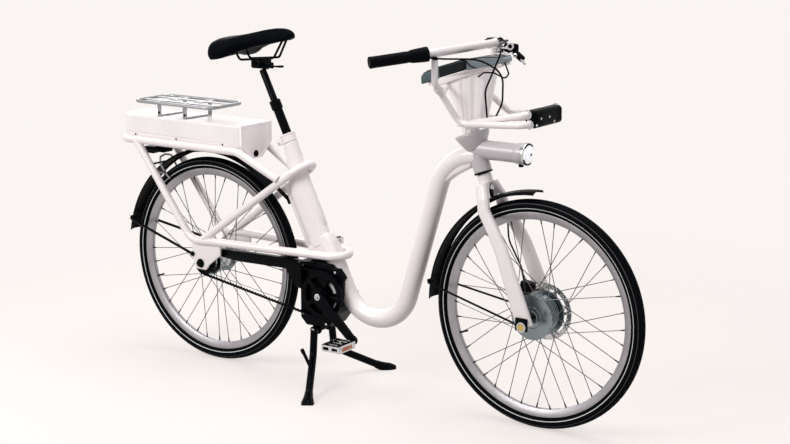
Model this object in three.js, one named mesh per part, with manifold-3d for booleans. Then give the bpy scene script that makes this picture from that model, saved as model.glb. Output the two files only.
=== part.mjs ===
// Step-through city bicycle with a front hub motor, a toothed belt drive, a battery box under the rear rack
// and a twin-leg stand. Millimetres, +X forward, +Y to the rider's left, +Z up from the ground.
// While it is built, X is measured from the rear axle. The finished bicycle is then centred over the origin.
import * as THREE from 'three';
import { mergeVertices } from 'three/addons/utils/BufferGeometryUtils.js';
import Module from 'manifold-3d';

const wasm = await Module();
wasm.setup();

// Driving dimensions of the whole bicycle.
const wheelbase = 1147;
const tyreRadius = 320;
const tyreWidth = 40;
const tyreDepth = 34;        // from the rim's edge to the tread
const fit = 0.3;            // gap between pieces that touch
const running = 0.5;        // gap round a turning shaft
const overrun = 20;         // how far a cutting solid passes the face that it cuts
const headAngle = 20;       // degrees, tilt of the steering axis from upright
const seatAngle = 26.1;     // degrees, tilt of the seat post from upright
const rearHubWidth = 135;   // between the dropouts
const crankLength = 170;
const crankDrop = 40;       // crank axle below the wheel axles
const crankForward = 450;   // crank axle ahead of the rear axle
const crankAngle = -39.8;   // degrees, right crank at rest, up from straight ahead
const frameTubeRadius = 12; // stays, carrier loop and brace
const mainTubeRadius = 26.5;

const rad = THREE.MathUtils.degToRad;
const v = (x, y, z) => new THREE.Vector3(x, y, z);
const mirrored = (point, side) => v(point.x, point.y * side, point.z);

// Shapes. Each helper returns a closed solid.

function solidOf(geometry) {
  geometry.deleteAttribute('normal');
  geometry.deleteAttribute('uv');
  let whole = mergeVertices(geometry);
  if (!whole.index) whole.setIndex([...Array(whole.attributes.position.count).keys()]);
  const place = whole.attributes.position.array;
  const corner = Uint32Array.from(whole.index.array);
  if (signedVolume(place, corner) < 0) {
    for (let i = 0; i < corner.length; i += 3) {
      [corner[i], corner[i + 1]] = [corner[i + 1], corner[i]];
    }
  }
  const vertProperties = Float32Array.from(place);
  return new wasm.Manifold(new wasm.Mesh({ numProp: 3, vertProperties, triVerts: corner }));
}

function signedVolume(place, corner) {
  let sum = 0;
  const at = (i) => v(place[3 * i], place[3 * i + 1], place[3 * i + 2]);
  for (let i = 0; i < corner.length; i += 3) {
    sum += at(corner[i]).dot(at(corner[i + 1]).cross(at(corner[i + 2])));
  }
  return sum;
}

function joined(...solids) {
  return solids.reduce((whole, next) => whole.add(next));
}

function box(centre, size) {
  const geometry = new THREE.BoxGeometry(size.x, size.y, size.z);
  return solidOf(geometry.translate(centre.x, centre.y, centre.z));
}

// A straight round bar between two points.
function rod(from, to, radius, sides = 16, endRadius = radius) {
  const along = to.clone().sub(from);
  const geometry = new THREE.CylinderGeometry(endRadius, radius, along.length(), sides);
  geometry.translate(0, along.length() / 2, 0);
  geometry.applyQuaternion(new THREE.Quaternion().setFromUnitVectors(v(0, 1, 0), along.normalize()));
  return solidOf(geometry.translate(from.x, from.y, from.z));
}

// A turned piece: its profile holds [radius, height] pairs, and it stands on base along the given direction.
function turned(profile, base, direction, sides = 24) {
  const points = profile.map(([radius, height]) => new THREE.Vector2(radius, height));
  const geometry = new THREE.LatheGeometry(points, sides);
  geometry.applyQuaternion(new THREE.Quaternion().setFromUnitVectors(v(0, 1, 0), direction.clone().normalize()));
  return solidOf(geometry.translate(base.x, base.y, base.z));
}

// A flat plate: its outline holds [x, z] pairs, and it reaches from yLow to yHigh.
function plate(outline, yLow, yHigh, holes = []) {
  const shape = new THREE.Shape(outline.map(([x, z]) => new THREE.Vector2(x, z)));
  for (const hole of holes) {
    shape.holes.push(new THREE.Path(hole.map(([x, z]) => new THREE.Vector2(x, z))));
  }
  const geometry = new THREE.ExtrudeGeometry(shape, { depth: yHigh - yLow, bevelEnabled: false });
  geometry.rotateX(Math.PI / 2);
  return solidOf(geometry.translate(0, yHigh, 0));
}

// A path of straight runs joined by round bends. A corner is { at, bend }, and bend is its radius.
class BentPath extends THREE.Curve {
  constructor(corners, stepsPerBend) {
    super();
    this.stations = [];
    const last = corners.length - 1;
    corners.forEach(({ at, bend }, i) => {
      if (i === 0 || i === last) {
        const next = corners[i === 0 ? 1 : last - 1].at;
        const way = i === 0 ? next.clone().sub(at) : at.clone().sub(next);
        this.stations.push({ at, way: way.normalize() });
        return;
      }
      const into = at.clone().sub(corners[i - 1].at).normalize();
      const out = corners[i + 1].at.clone().sub(at).normalize();
      const turn = into.angleTo(out);
      const start = at.clone().addScaledVector(into, -bend * Math.tan(turn / 2));
      const inward = out.clone().addScaledVector(into, -out.dot(into)).normalize();
      const centre = start.clone().addScaledVector(inward, bend);
      for (let k = 0; k <= stepsPerBend; k++) {
        const angle = turn * k / stepsPerBend;
        const spot = centre.clone().addScaledVector(inward, -bend * Math.cos(angle));
        spot.addScaledVector(into, bend * Math.sin(angle));
        const way = into.clone().multiplyScalar(Math.cos(angle)).addScaledVector(inward, Math.sin(angle));
        this.stations.push({ at: spot, way });
      }
    });
  }
  station(u) {
    return this.stations[Math.round(u * (this.stations.length - 1))];
  }
  getPointAt(u) {
    return this.station(u).at.clone();
  }
  getTangentAt(u) {
    return this.station(u).way.clone();
  }
}

function circle(radius, sides) {
  const turnOf = (i) => 2 * Math.PI * (i + 0.5) / sides;
  return Array.from({ length: sides }, (_, i) => [radius * Math.cos(turnOf(i)), radius * Math.sin(turnOf(i))]);
}

function tube(corners, radius, sides = 8, stepsPerBend = 4) {
  const extrudePath = new BentPath(corners, stepsPerBend);
  const shape = new THREE.Shape(circle(radius, sides).map(([x, y]) => new THREE.Vector2(x, y)));
  return solidOf(new THREE.ExtrudeGeometry(shape, { steps: extrudePath.stations.length - 1, extrudePath }));
}

// A skin through sections: at each station the outline's two axes are the vectors across and up.
function sweep(outline, stations) {
  const clockwise = THREE.ShapeUtils.isClockWise(outline.map(([a, b]) => new THREE.Vector2(a, b)));
  const section = clockwise ? [...outline].reverse() : outline;
  const count = section.length;
  const place = stations.flatMap(({ at, across, up }) => section.flatMap(([a, b]) => (
    at.clone().addScaledVector(across, a).addScaledVector(up, b).toArray())));
  const index = [];
  for (let s = 0; s + 1 < stations.length; s++) {
    for (let i = 0; i < count; i++) {
      const [a, b] = [s * count + i, s * count + (i + 1) % count];
      index.push(a, b, b + count, a, b + count, a + count);
    }
  }
  const flat = section.map(([a, b]) => new THREE.Vector2(a, b));
  const end = (stations.length - 1) * count;
  for (const [a, b, c] of THREE.ShapeUtils.triangulateShape(flat, [])) {
    index.push(b, a, c, end + a, end + b, end + c);
  }
  const geometry = new THREE.BufferGeometry();
  geometry.setAttribute('position', new THREE.Float32BufferAttribute(place, 3));
  geometry.setIndex(index);
  return solidOf(geometry);
}

// Paint and stuff.
const stuff = (color, roughness, metalness = 0) => new THREE.MeshStandardMaterial({ color, roughness, metalness });
const whitePaint = stuff(0xf1e8ea, 0.3);
const shadePanel = stuff(0xcfc4cc, 0.45);
const blackPlastic = stuff(0x0a0c10, 0.5);
const blackPaint = stuff(0x0b0d12, 0.35);
const rubber = stuff(0x0d0e10, 0.85);
const silver = stuff(0xb9bcc0, 0.3, 0.9);
const steel = stuff(0x8d9094, 0.35, 0.9);
const glass = stuff(0xe8eef2, 0.1);
const greyScreen = stuff(0x8b949c, 0.25);

const bicycle = new THREE.Group();
function part(name, solid, material) {
  const { vertProperties, triVerts } = solid.getMesh();
  const geometry = new THREE.BufferGeometry();
  geometry.setAttribute('position', new THREE.BufferAttribute(Float32Array.from(vertProperties), 3));
  geometry.setIndex(new THREE.BufferAttribute(Uint32Array.from(triVerts), 1));
  const mesh = new THREE.Mesh(geometry, material);
  mesh.name = name;
  bicycle.add(mesh);
}

// Main lines of the frame.
const rearAxle = v(0, 0, tyreRadius);
const frontAxle = v(wheelbase, 0, tyreRadius);
const crankAxle = v(crankForward, 0, tyreRadius - crankDrop);
const seatUp = v(-Math.sin(rad(seatAngle)), 0, Math.cos(rad(seatAngle)));
const seatForward = v(Math.cos(rad(seatAngle)), 0, Math.sin(rad(seatAngle)));
const headUp = v(-Math.sin(rad(headAngle)), 0, Math.cos(rad(headAngle)));
const headForward = v(Math.cos(rad(headAngle)), 0, Math.sin(rad(headAngle)));
const leftward = v(0, 1, 0);
const upright = v(0, 0, 1);
const forward = v(1, 0, 0);

const seatTopForward = 287; // top of the seat tube, ahead of the rear axle
const seatTopHeight = 738;
const seatTubeLength = 345;
const seatTop = v(seatTopForward, 0, seatTopHeight);
const seatPoint = (down, ahead = 0) => seatTop.clone().addScaledVector(seatUp, -down).addScaledVector(seatForward, ahead);

const forkRake = 40;        // wheel axle ahead of the steering axis
const headBottomHeight = 697;
const steerFoot = frontAxle.clone().addScaledVector(headForward, -forkRake);
const headBottomRise = (headBottomHeight - steerFoot.z) / headUp.z;
const headPoint = (rise, ahead = 0) => steerFoot.clone().addScaledVector(headUp, headBottomRise + rise)
  .addScaledVector(headForward, ahead);

// Wheels. Each turns on its axle about the Y axis.
const rimRadius = tyreRadius - tyreDepth;
const rimWidth = 26;
const rimDepth = 22;
const rimWellDepth = 7;
const rimWall = 3;
const wheelSides = 36;
const spokesPerSide = 18;
const spokeRadius = 1;
const flangeThickness = 4.4;
const spokeOffset = 1.1;    // each spoke beside the middle of its flange, so that crossing spokes pass

function tyreProfile() {
  const seat = rimRadius - rimWellDepth + fit;
  const neck = rimWidth / 2 - rimWall - fit;
  const lip = rimRadius + fit + rimWall / 2;
  const crownRise = tyreRadius - lip;
  const half = tyreWidth / 2;
  const wallShares = [[1, 0.36], [0.78, 0.84]];
  const side = wallShares.map(([wide, high]) => [lip + crownRise * high, half * wide]);
  const right = [[seat, neck], [lip, neck], ...side, [tyreRadius, 0]];
  const left = right.slice(0, -1).reverse().map(([radius, y]) => [radius, -y]);
  return [...right, ...left, [seat, neck]];
}

function rimProfile() {
  const half = rimWidth / 2;
  const well = rimRadius - rimWellDepth;
  const inner = rimRadius - rimDepth;
  const neck = half - rimWall;
  const foot = half * 0.55;
  return [[well, neck], [rimRadius, neck], [rimRadius, half], [inner, foot], [inner, -foot], [rimRadius, -half],
    [rimRadius, -neck], [well, -neck], [well, neck]];
}

// One side's spokes with the hub flange that they hook into.
function spokeSet(axle, side, flangeY, flangeRadius, hubRadius, crossing) {
  const plateProfile = [[hubRadius, 0], [flangeRadius, 0], [flangeRadius, flangeThickness],
    [hubRadius, flangeThickness], [hubRadius, 0]];
  const base = axle.clone().addScaledVector(leftward, side * flangeY - flangeThickness / 2);
  const pieces = [turned(plateProfile, base, leftward, 18)];
  const step = 2 * Math.PI / spokesPerSide;
  const hookRadius = flangeRadius - 2 * spokeRadius;
  const rimEnd = rimRadius - rimDepth - 2 * fit;
  const spot = (radius, angle, y) => axle.clone().add(v(radius * Math.cos(angle), y, radius * Math.sin(angle)));
  for (let i = 0; i < spokesPerSide; i++) {
    const lean = i % 2 ? -1 : 1;
    const hubAngle = i * step + (side > 0 ? step / 2 : 0);
    const rimAngle = hubAngle + lean * crossing * step;
    const hook = spot(hookRadius, hubAngle, side * flangeY + lean * spokeOffset);
    const nipple = spot(rimEnd, rimAngle, side * rimWidth / 8 + lean * spokeOffset);
    pieces.push(rod(hook, nipple, spokeRadius, 3));
  }
  return joined(...pieces);
}

function wheel(prefix, axle, hub) {
  part(`${prefix}_tyre`, turned(tyreProfile(), axle, leftward, wheelSides), rubber);
  part(`${prefix}_rim`, turned(rimProfile(), axle, leftward, wheelSides), silver);
  const spokes = (side, y) => spokeSet(axle, side, y, hub.flangeRadius, hub.flangeBore, hub.crossing);
  part(`${prefix}_spokes_right`, spokes(-1, hub.rightY), steel);
  part(`${prefix}_spokes_left`, spokes(1, hub.leftY), steel);
}

const axleRadius = 5.5;
const motorRadius = 52;
const motorNeck = 30;
const frontHub = { flangeRadius: 63, flangeBore: motorNeck + 3 * fit, rightY: 34, leftY: 32, crossing: 2 };
wheel('front', frontAxle, frontHub);
const drumLow = -frontHub.rightY + flangeThickness / 2 + fit;
const drumHigh = frontHub.leftY - flangeThickness / 2 - fit;
const hubEndY = 41;         // each end of the motor hub, from the middle of the bicycle
function motorHub() {
  const bore = axleRadius + running;
  const half = [[bore, hubEndY], [motorNeck, hubEndY]];
  const profile = [[bore, -hubEndY], [motorNeck, -hubEndY], [motorNeck, drumLow], [motorRadius, drumLow],
    [motorRadius, drumHigh], [motorNeck, drumHigh], ...half.reverse(), [bore, -hubEndY]];
  return turned(profile, frontAxle, leftward, 24);
}
part('front_hub_motor', motorHub(), silver);

const rotorRadius = 80;
const rotorThickness = 2.4;
const rotorTrack = 14;
const rotorArms = 6;
const rotorHubRadius = 32;
const rotorArmWidth = 9;
function brakeRotor() {
  const low = hubEndY + fit;
  const slab = (outer, inner) => turned([[inner, 0], [outer, 0], [outer, rotorThickness],
    [inner, rotorThickness], [inner, 0]], frontAxle.clone().setY(low), leftward, 24);
  const pieces = [slab(rotorRadius, rotorRadius - rotorTrack), slab(rotorHubRadius, axleRadius + running)];
  const middle = (rotorRadius - rotorTrack + rotorHubRadius) / 2;
  const reach = rotorRadius - rotorHubRadius;
  for (let i = 0; i < rotorArms; i++) {
    const arm = new THREE.BoxGeometry(reach, rotorThickness, rotorArmWidth);
    arm.translate(middle, low + rotorThickness / 2, 0).rotateY(2 * Math.PI * i / rotorArms);
    pieces.push(solidOf(arm.translate(frontAxle.x, 0, frontAxle.z)));
  }
  return joined(...pieces);
}
part('front_brake_rotor', brakeRotor(), steel);

const rearHubRadius = 30;
const rearHub = { flangeRadius: 45, flangeBore: rearHubRadius + 3 * fit, rightY: 32, leftY: 36, crossing: 3 };
wheel('rear', rearAxle, rearHub);
const beltLineY = 52;       // middle of the belt, right of the middle of the bicycle
const beltWidth = 12;
const sprocketGap = 1;
const rearHubShell = [[axleRadius + running, -beltLineY + beltWidth / 2 + sprocketGap],
  [rearHubRadius, -beltLineY + beltWidth / 2 + sprocketGap], [rearHubRadius, rearHubWidth / 2 - 2 * sprocketGap],
  [axleRadius + running, rearHubWidth / 2 - 2 * sprocketGap]];
part('rear_hub', turned([...rearHubShell, rearHubShell[0]], rearAxle, leftward, 24), silver);

// Main tube: down from the seat tube, round under the step-through, up to the head tube, with its gusset.
const mainBottomHeight = 225;
const mainBendRadius = 116;
const topBendRadius = 133;
const riserAngle = 16.9;    // degrees from upright
const topRunAngle = 9;      // degrees, rise of the top run towards the head tube
const headTubeRadius = 25;
const headTubeLength = 62;
const mainJoinRise = 47;    // main tube's axis above the head tube's lower end
const seatTubeBottom = seatTubeLength + fit;
const riserUp = v(Math.sin(rad(riserAngle)), 0, Math.cos(rad(riserAngle)));
const topRunWay = v(Math.cos(rad(topRunAngle)), 0, Math.sin(rad(topRunAngle)));
const mainStart = seatPoint(seatTubeBottom);
const mainHead = headPoint(mainJoinRise);

// Where two lines in the middle plane of the bicycle cross.
function crossing(pointA, wayA, pointB, wayB) {
  const across = wayA.x * wayB.z - wayA.z * wayB.x;
  const gap = pointB.clone().sub(pointA);
  return pointA.clone().addScaledVector(wayA, (gap.x * wayB.z - gap.z * wayB.x) / across);
}
const mainLegDown = seatUp.clone().negate();
const halfFork = (mainLegDown.angleTo(riserUp.clone().negate())) / 2;
const lowCornerDrop = mainBendRadius / Math.sin(halfFork) - mainBendRadius;
const lowCornerHeight = mainBottomHeight - lowCornerDrop;
const lowCornerDown = (mainStart.z - lowCornerHeight) / seatUp.z;
const lowCorner = mainStart.clone().addScaledVector(mainLegDown, lowCornerDown);
const topCorner = crossing(lowCorner, riserUp, mainHead, topRunWay);
const mainCorners = [{ at: mainStart }, { at: lowCorner, bend: mainBendRadius },
  { at: topCorner, bend: topBendRadius }, { at: mainHead }];
const mainSides = 14;
const mainPath = (radius) => tube(mainCorners, radius, mainSides, 8);
const headSocket = rod(headPoint(-overrun), headPoint(headTubeLength + overrun), headTubeRadius + fit, 24);
// The turning cover over the head tube, a cone that the frame's tubes stay clear of.
const headCover = { topRadius: 48, footRadius: 27, height: 40, flange: 8 };
const headCoverRise = headTubeLength + fit;
const coverSpace = turned([[0, -running], [headCover.footRadius + running, -running],
  [headCover.topRadius + running, headCover.height], [0, headCover.height]], headPoint(headCoverRise), headUp, 24);
const gussetHalfWidth = 17;
const gussetCorners = [[836, 657], [855, 656], [882, 677], [925, 701], [936, 704], [944, 735], [870, 725]];
const headGusset = plate(gussetCorners, -gussetHalfWidth, gussetHalfWidth);
part('main_tube', joined(mainPath(mainTubeRadius), headGusset).subtract(headSocket)
  .subtract(coverSpace), whitePaint);

// Head tube with its lamp tube, and the lamp.
const steererRadius = 14;
const headWall = rod(headPoint(0), headPoint(headTubeLength), headTubeRadius, 24)
  .subtract(rod(headPoint(-overrun), headPoint(headTubeLength + overrun), steererRadius + running, 16));
part('head_tube', headWall, whitePaint);

const lampTubeRadius = 26.5;
const lampHeight = 758;
const lampFront = 1100;     // front of the lamp tube, ahead of the rear axle
const lampRingLength = 26;
const lampRingRadius = 28.5;
const lensLength = 12;
const lensRadius = 25;
const lampAt = (x) => v(x, 0, lampHeight);
const lampRoot = headPoint((lampHeight - headBottomHeight) / headUp.z).x;
function lampTube() {
  const body = joined(rod(lampAt(lampRoot), lampAt(lampFront), lampTubeRadius, 20),
    rod(lampAt(lampFront - lampRingLength), lampAt(lampFront), lampRingRadius, 20));
  const pocket = rod(lampAt(lampFront - lensLength), lampAt(lampFront + overrun), lensRadius + fit, 20);
  const socket = rod(headPoint(-headTubeLength), headPoint(headTubeLength * 2), headTubeRadius + fit, 24);
  return body.subtract(pocket).subtract(socket).subtract(coverSpace).subtract(mainPath(mainTubeRadius + fit));
}
part('headlight_tube', lampTube().decompose().sort((a, b) => b.volume() - a.volume())[0], whitePaint);
const lensDome = [[0, 0], [lensRadius, 0], [lensRadius, lensLength], [lensRadius * 0.7, lensLength * 1.5],
  [0, lensLength * 1.7]];
part('headlight_lens', turned(lensDome, lampAt(lampFront - lensLength + fit), forward, 20), glass);

// Seat tube: an oval that narrows to a round collar, with a thin fin towards the rear wheel.
const seatNose = 14;        // front of the oval ahead of the post's axis
const seatOvalLength = 82;
const seatOvalWidth = 52;
const seatCollarRadius = 22;
const finDepth = 84;        // rear edge of the fin behind the post's axis
const finWidth = 16;
const seatFlareLength = 150;
const lowerPostRadius = 13.6;
const upperPostRadius = 10.6;
const seatCollarLength = 26;
const postBoreDepth = 260;
function seatTube() {
  const ring = circle(1, 24);
  const station = (down, ahead, half, width) => ({
    at: seatPoint(down, ahead), across: seatForward.clone().multiplyScalar(half),
    up: leftward.clone().multiplyScalar(width),
  });
  const half = seatOvalLength / 2;
  const shares = [[0, 0], [0.35, 0.3], [0.7, 0.72], [1, 1]];
  const flare = shares.map(([down, grow]) => station(seatCollarLength + fit + (seatFlareLength * down),
    (seatNose - half) * grow, seatCollarRadius + (half - seatCollarRadius) * grow,
    seatCollarRadius + (seatOvalWidth / 2 - seatCollarRadius) * grow));
  const oval = sweep(ring, [...flare, station(seatTubeLength, seatNose - half, half, seatOvalWidth / 2)]);
  const finTop = seatCollarLength + seatFlareLength * 0.7;
  const finEdge = finWidth / 2;
  const finOutline = [[-half, -finEdge], [-finDepth + finEdge, -finEdge], [-finDepth, 0],
    [-finDepth + finEdge, finEdge], [-half, finEdge]];
  const finStation = (down) => ({ at: seatPoint(down), across: seatForward, up: leftward });
  const fin = sweep(finOutline, [finStation(finTop), finStation(seatTubeLength)]);
  const bore = rod(seatPoint(-overrun), seatPoint(postBoreDepth), lowerPostRadius + running, 16);
  return joined(oval, fin).subtract(bore);
}
const seatTubeSolid = seatTube();

const collarEarLength = 14;
const collarEarWidth = 18;
const collarBoltRadius = 3.5;
function seatCollar() {
  const ring = rod(seatPoint(seatCollarLength), seatPoint(0), seatCollarRadius, 24);
  const earReach = seatCollarRadius + collarEarLength;
  const earMiddle = seatPoint(seatCollarLength / 2, -earReach / 2 - seatCollarRadius / 2);
  const ear = new THREE.BoxGeometry(collarEarLength * 2, collarEarWidth, seatCollarLength * 0.7);
  ear.rotateY(-rad(seatAngle)).translate(earMiddle.x, earMiddle.y, earMiddle.z);
  const boltAt = seatPoint(seatCollarLength / 2, -earReach);
  const bolt = rod(boltAt.clone().setY(-collarEarWidth), boltAt.clone().setY(collarEarWidth), collarBoltRadius, 8);
  const bore = rod(seatPoint(seatCollarLength + overrun), seatPoint(-overrun), lowerPostRadius + running, 16);
  return joined(ring, solidOf(ear), bolt).subtract(bore);
}
part('seat_collar', seatCollar(), whitePaint);

// Rear frame: on each side one bent tube is stay and stay again, with a dropout plate under its bend.
const stayY = 75;
const wrapY = seatOvalWidth / 2 + frameTubeRadius + fit + running;
const loopY = 74;
const loopHeight = 681;
const loopBend = 60;
const tailBend = 47;
const loopRear = -325;
const loopKneeForward = 153;
const loopFootForward = 290;
const loopFootHeight = 609;
const loopFootY = 54;
const stayKneeBehind = 35;
const stayKneeRise = 68;    // above the rear axle
const stayKnee = v(-stayKneeBehind, -stayY, tyreRadius + stayKneeRise);
const stayTopForward = -254;
const stayBend = 60;
const dropoutForward = 60;
const chainstayWrapRise = 78;    // above the rear axle
const chainstayWrapHeight = tyreRadius + chainstayWrapRise;
const wrapFront = 500.6;
const dropoutThickness = 8;
const dropoutY = rearHubWidth / 2 + fit;
const nutRadius = 14;

const loopCorners = (() => {
  const side = (y) => [{ at: v(loopFootForward, y * loopFootY, loopFootHeight) },
    { at: v(loopKneeForward, y * loopY, loopHeight), bend: loopBend },
    { at: v(loopRear, y * loopY, loopHeight), bend: tailBend }];
  return [...side(-1), ...side(1).reverse()];
})();
const carrierLoop = (radius) => tube(loopCorners, radius, 8, 4);

const stayTop = v(stayTopForward, -stayY, loopHeight);
function rearFrame(side) {
  const corners = [{ at: stayTop }, { at: stayKnee, bend: stayBend },
    { at: v(dropoutForward, -stayY, stayKnee.z + frameTubeRadius / 2), bend: stayBend * 4 },
    { at: v(wrapFront, -wrapY, chainstayWrapHeight), bend: wrapY - fit },
    { at: v(wrapFront, -fit / 2, chainstayWrapHeight) }];
  const bent = tube(corners.map(({ at, bend }) => ({ at: mirrored(at, -side), bend })), frameTubeRadius, 8, 4);
  const outer = dropoutY + dropoutThickness;
  const plateFoot = 22;
  const plateShares = [[-0.62, 1], [1.42, 1.12], [1.42, 0.5], [0.62, -0.02], [0.36, -0.3], [-0.36, -0.3], [-0.62, 0.2]];
  const reach = stayKnee.z - tyreRadius;
  const outline = plateShares.map(([x, z]) => [reach * x * 0.82, tyreRadius + reach * z * 0.98]);
  const [low, high] = side > 0 ? [dropoutY, outer] : [-outer, -dropoutY];
  const hole = rod(v(0, -outer - plateFoot, tyreRadius), v(0, outer + plateFoot, tyreRadius), axleRadius + fit, 12);
  return joined(bent, plate(outline, low, high)).subtract(hole);
}
const rearRight = rearFrame(-1).subtract(carrierLoop(frameTubeRadius + fit));
const rearLeft = rearFrame(1).subtract(carrierLoop(frameTubeRadius + fit));
part('rear_frame_right', rearRight, whitePaint);
part('rear_frame_left', rearLeft, whitePaint);

// Brace: from both dropouts up round the front of the seat tube.
const braceFootForward = 14;
const braceFootRise = 78;   // above the rear axle
const braceFrontForward = 365;
const braceFrontHeight = 653;
const braceFoot = v(braceFootForward, -stayY, tyreRadius + braceFootRise);
const braceFront = v(braceFrontForward, -wrapY, braceFrontHeight);
const braceTube = (radius) => {
  const near = [{ at: braceFoot }, { at: braceFront, bend: wrapY - fit }];
  return tube([...near, ...near.map(({ at, bend }) => ({ at: mirrored(at, -1), bend })).reverse()], radius, 8, 6);
};
const chainTubes = (() => {
  const grown = [-1, 1].map((side) => tube([{ at: mirrored(stayTop, -side) },
    { at: mirrored(stayKnee, -side), bend: stayBend },
    { at: v(dropoutForward, side * stayY, stayKnee.z + frameTubeRadius / 2) },
  ], frameTubeRadius + fit, 8, 4));
  return joined(...grown);
})();
part('brace_loop', braceTube(frameTubeRadius).subtract(chainTubes).decompose()
  .sort((a, b) => b.volume() - a.volume())[0], whitePaint);
part('carrier_loop', carrierLoop(frameTubeRadius).subtract(braceTube(frameTubeRadius + fit)).decompose()
  .sort((a, b) => b.volume() - a.volume())[0], whitePaint);
part('seat_tube', seatTubeSolid, whitePaint);

const rearAxleHalf = dropoutY + dropoutThickness + fit;
const nutLength = 10;
const rearAxleSolid = joined(
  rod(v(0, -rearAxleHalf - nutLength, tyreRadius), v(0, rearAxleHalf + nutLength, tyreRadius), axleRadius, 12),
  rod(v(0, -rearAxleHalf - nutLength, tyreRadius), v(0, -rearAxleHalf, tyreRadius), nutRadius, 16),
  rod(v(0, rearAxleHalf, tyreRadius), v(0, rearAxleHalf + nutLength, tyreRadius), nutRadius, 16));
part('rear_axle', rearAxleSolid, blackPaint);

// Battery box on the carrier loop, its end cover, and the rack on top.
const boxHalfWidth = 72;
const boxSeatShare = 0.79;  // how far up the round tubes the box's chamfered edges rest
const boxFloor = loopHeight + frameTubeRadius * boxSeatShare;
const boxTop = 759;
const boxFront = 162;
const boxTailRadius = 45;
const boxEdge = 5;
function roundedPlan(front, rear, half, radius, steps) {
  const points = [[front, -half], [front, half]];
  for (const side of [1, -1]) {
    for (let k = 0; k <= steps; k++) {
      const angle = Math.PI / 2 * k / steps;
      const [a, b] = side > 0 ? [Math.sin(angle), Math.cos(angle)] : [Math.cos(angle), Math.sin(angle)];
      points.push([rear + radius - radius * a, side * (half - radius + radius * b)]);
    }
  }
  return points;
}
function batteryBox() {
  const plan = roundedPlan(boxFront - boxEdge, loopRear + boxEdge, boxHalfWidth - boxEdge, boxTailRadius - boxEdge, 5);
  const shape = new THREE.Shape(plan.map(([x, y]) => new THREE.Vector2(x, y)));
  const depth = boxTop - boxFloor - 2 * boxEdge;
  const bevel = { bevelThickness: boxEdge, bevelSize: boxEdge, bevelSegments: 1 };
  const geometry = new THREE.ExtrudeGeometry(shape, { depth, ...bevel });
  return solidOf(geometry.translate(0, 0, boxFloor + boxEdge)).subtract(carrierLoop(frameTubeRadius + fit));
}
part('battery_box', batteryBox(), whitePaint);

const coverThickness = 7;
const coverShares = [[-1, 1], [1, 1], [1, 0.42], [0.84, 0.3], [0.36, 0], [-0.36, 0], [-0.84, 0.3], [-1, 0.42]];
const coverFoot = 655;
function endCover() {
  const shape = new THREE.Shape(coverShares.map(([y, z]) => (
    new THREE.Vector2(boxHalfWidth * y, coverFoot + (boxTop - coverFoot) * z))));
  const geometry = new THREE.ExtrudeGeometry(shape, { depth: coverThickness, bevelEnabled: false });
  geometry.rotateX(Math.PI / 2).rotateZ(Math.PI / 2);
  return solidOf(geometry.translate(boxFront + fit, 0, 0)).subtract(carrierLoop(frameTubeRadius + fit));
}
part('battery_end_cover', endCover(), shadePanel);

const rackHeight = 803;
const rackHalfWidth = 77;
const rackRear = -257;
const rackFront = 56;
const rackTubeRadius = 5;
const rackBend = 28;
const strapWidth = 14;
const strapThickness = 4;
const rackLegY = 58;
const rackLegForward = [-168, -64];
const slatThickness = 3;
const slatWidth = 30;
function rack() {
  const corner = (x, y) => ({ at: v(x, y, rackHeight), bend: rackBend });
  const ends = [-1, 1].map((y) => [corner(rackRear, y * rackHalfWidth), corner(rackFront, y * rackHalfWidth)]);
  const start = { at: v((rackRear + rackFront) / 2, -rackHalfWidth, rackHeight) };
  const halfLoop = (x) => tube([start, corner(x, -rackHalfWidth), corner(x, rackHalfWidth),
    { at: mirrored(start.at, -1) }], rackTubeRadius, 8, 3);
  const pieces = [halfLoop(ends[0][0].at.x), halfLoop(ends[0][1].at.x)];
  const legTop = rackHeight;
  const legFoot = boxTop + fit;
  for (const x of rackLegForward) {
    for (const y of [-rackLegY, rackLegY]) {
      pieces.push(box(v(x, y, (legTop + legFoot) / 2), v(strapWidth, strapThickness, legTop - legFoot)));
    }
    pieces.push(box(v(x, 0, legFoot + strapThickness / 2), v(strapWidth, 2 * rackLegY, strapThickness)));
    pieces.push(box(v(x, 0, rackHeight), v(slatWidth, 2 * rackHalfWidth, slatThickness)));
  }
  const slatLength = rackFront - rackRear;
  for (const y of [-rackLegY / 2, rackLegY / 2]) {
    pieces.push(box(v((rackFront + rackRear) / 2, y, rackHeight), v(slatLength, slatWidth / 2, slatThickness)));
  }
  pieces.push(box(v(rackFront - slatWidth / 2, 0, rackHeight), v(slatWidth / 2, 2 * rackHalfWidth, slatThickness)));
  return joined(...pieces);
}
part('rear_rack', rack(), silver);

// Fenders: thin gutters round the wheels, with their stays.
const rearFenderGap = 30;
const fenderRadius = tyreRadius + rearFenderGap;
const fenderHalfWidth = 27;
const fenderSkin = 2.5;
const gutter = (radius) => {
  const drop = 9;
  const edge = fenderHalfWidth;
  const outer = [[-edge, radius - drop], [-edge * 0.7, radius - drop / 3], [0, radius], [edge * 0.7, radius - drop / 3],
    [edge, radius - drop]];
  const inner = [[edge, radius - drop - fenderSkin], [edge * 0.7, radius - drop / 3 - fenderSkin],
    [0, radius - fenderSkin], [-edge * 0.7, radius - drop / 3 - fenderSkin], [-edge, radius - drop - fenderSkin]];
  return [...outer, ...inner];
};
function fender(axle, radius, fromAngle, toAngle, steps) {
  const stations = Array.from({ length: steps + 1 }, (_, k) => {
    const angle = rad(fromAngle + (toAngle - fromAngle) * k / steps);
    return { at: axle, across: leftward, up: v(Math.cos(angle), 0, Math.sin(angle)) };
  });
  return sweep(gutter(radius), stations);
}
const wireRadius = 3;
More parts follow.
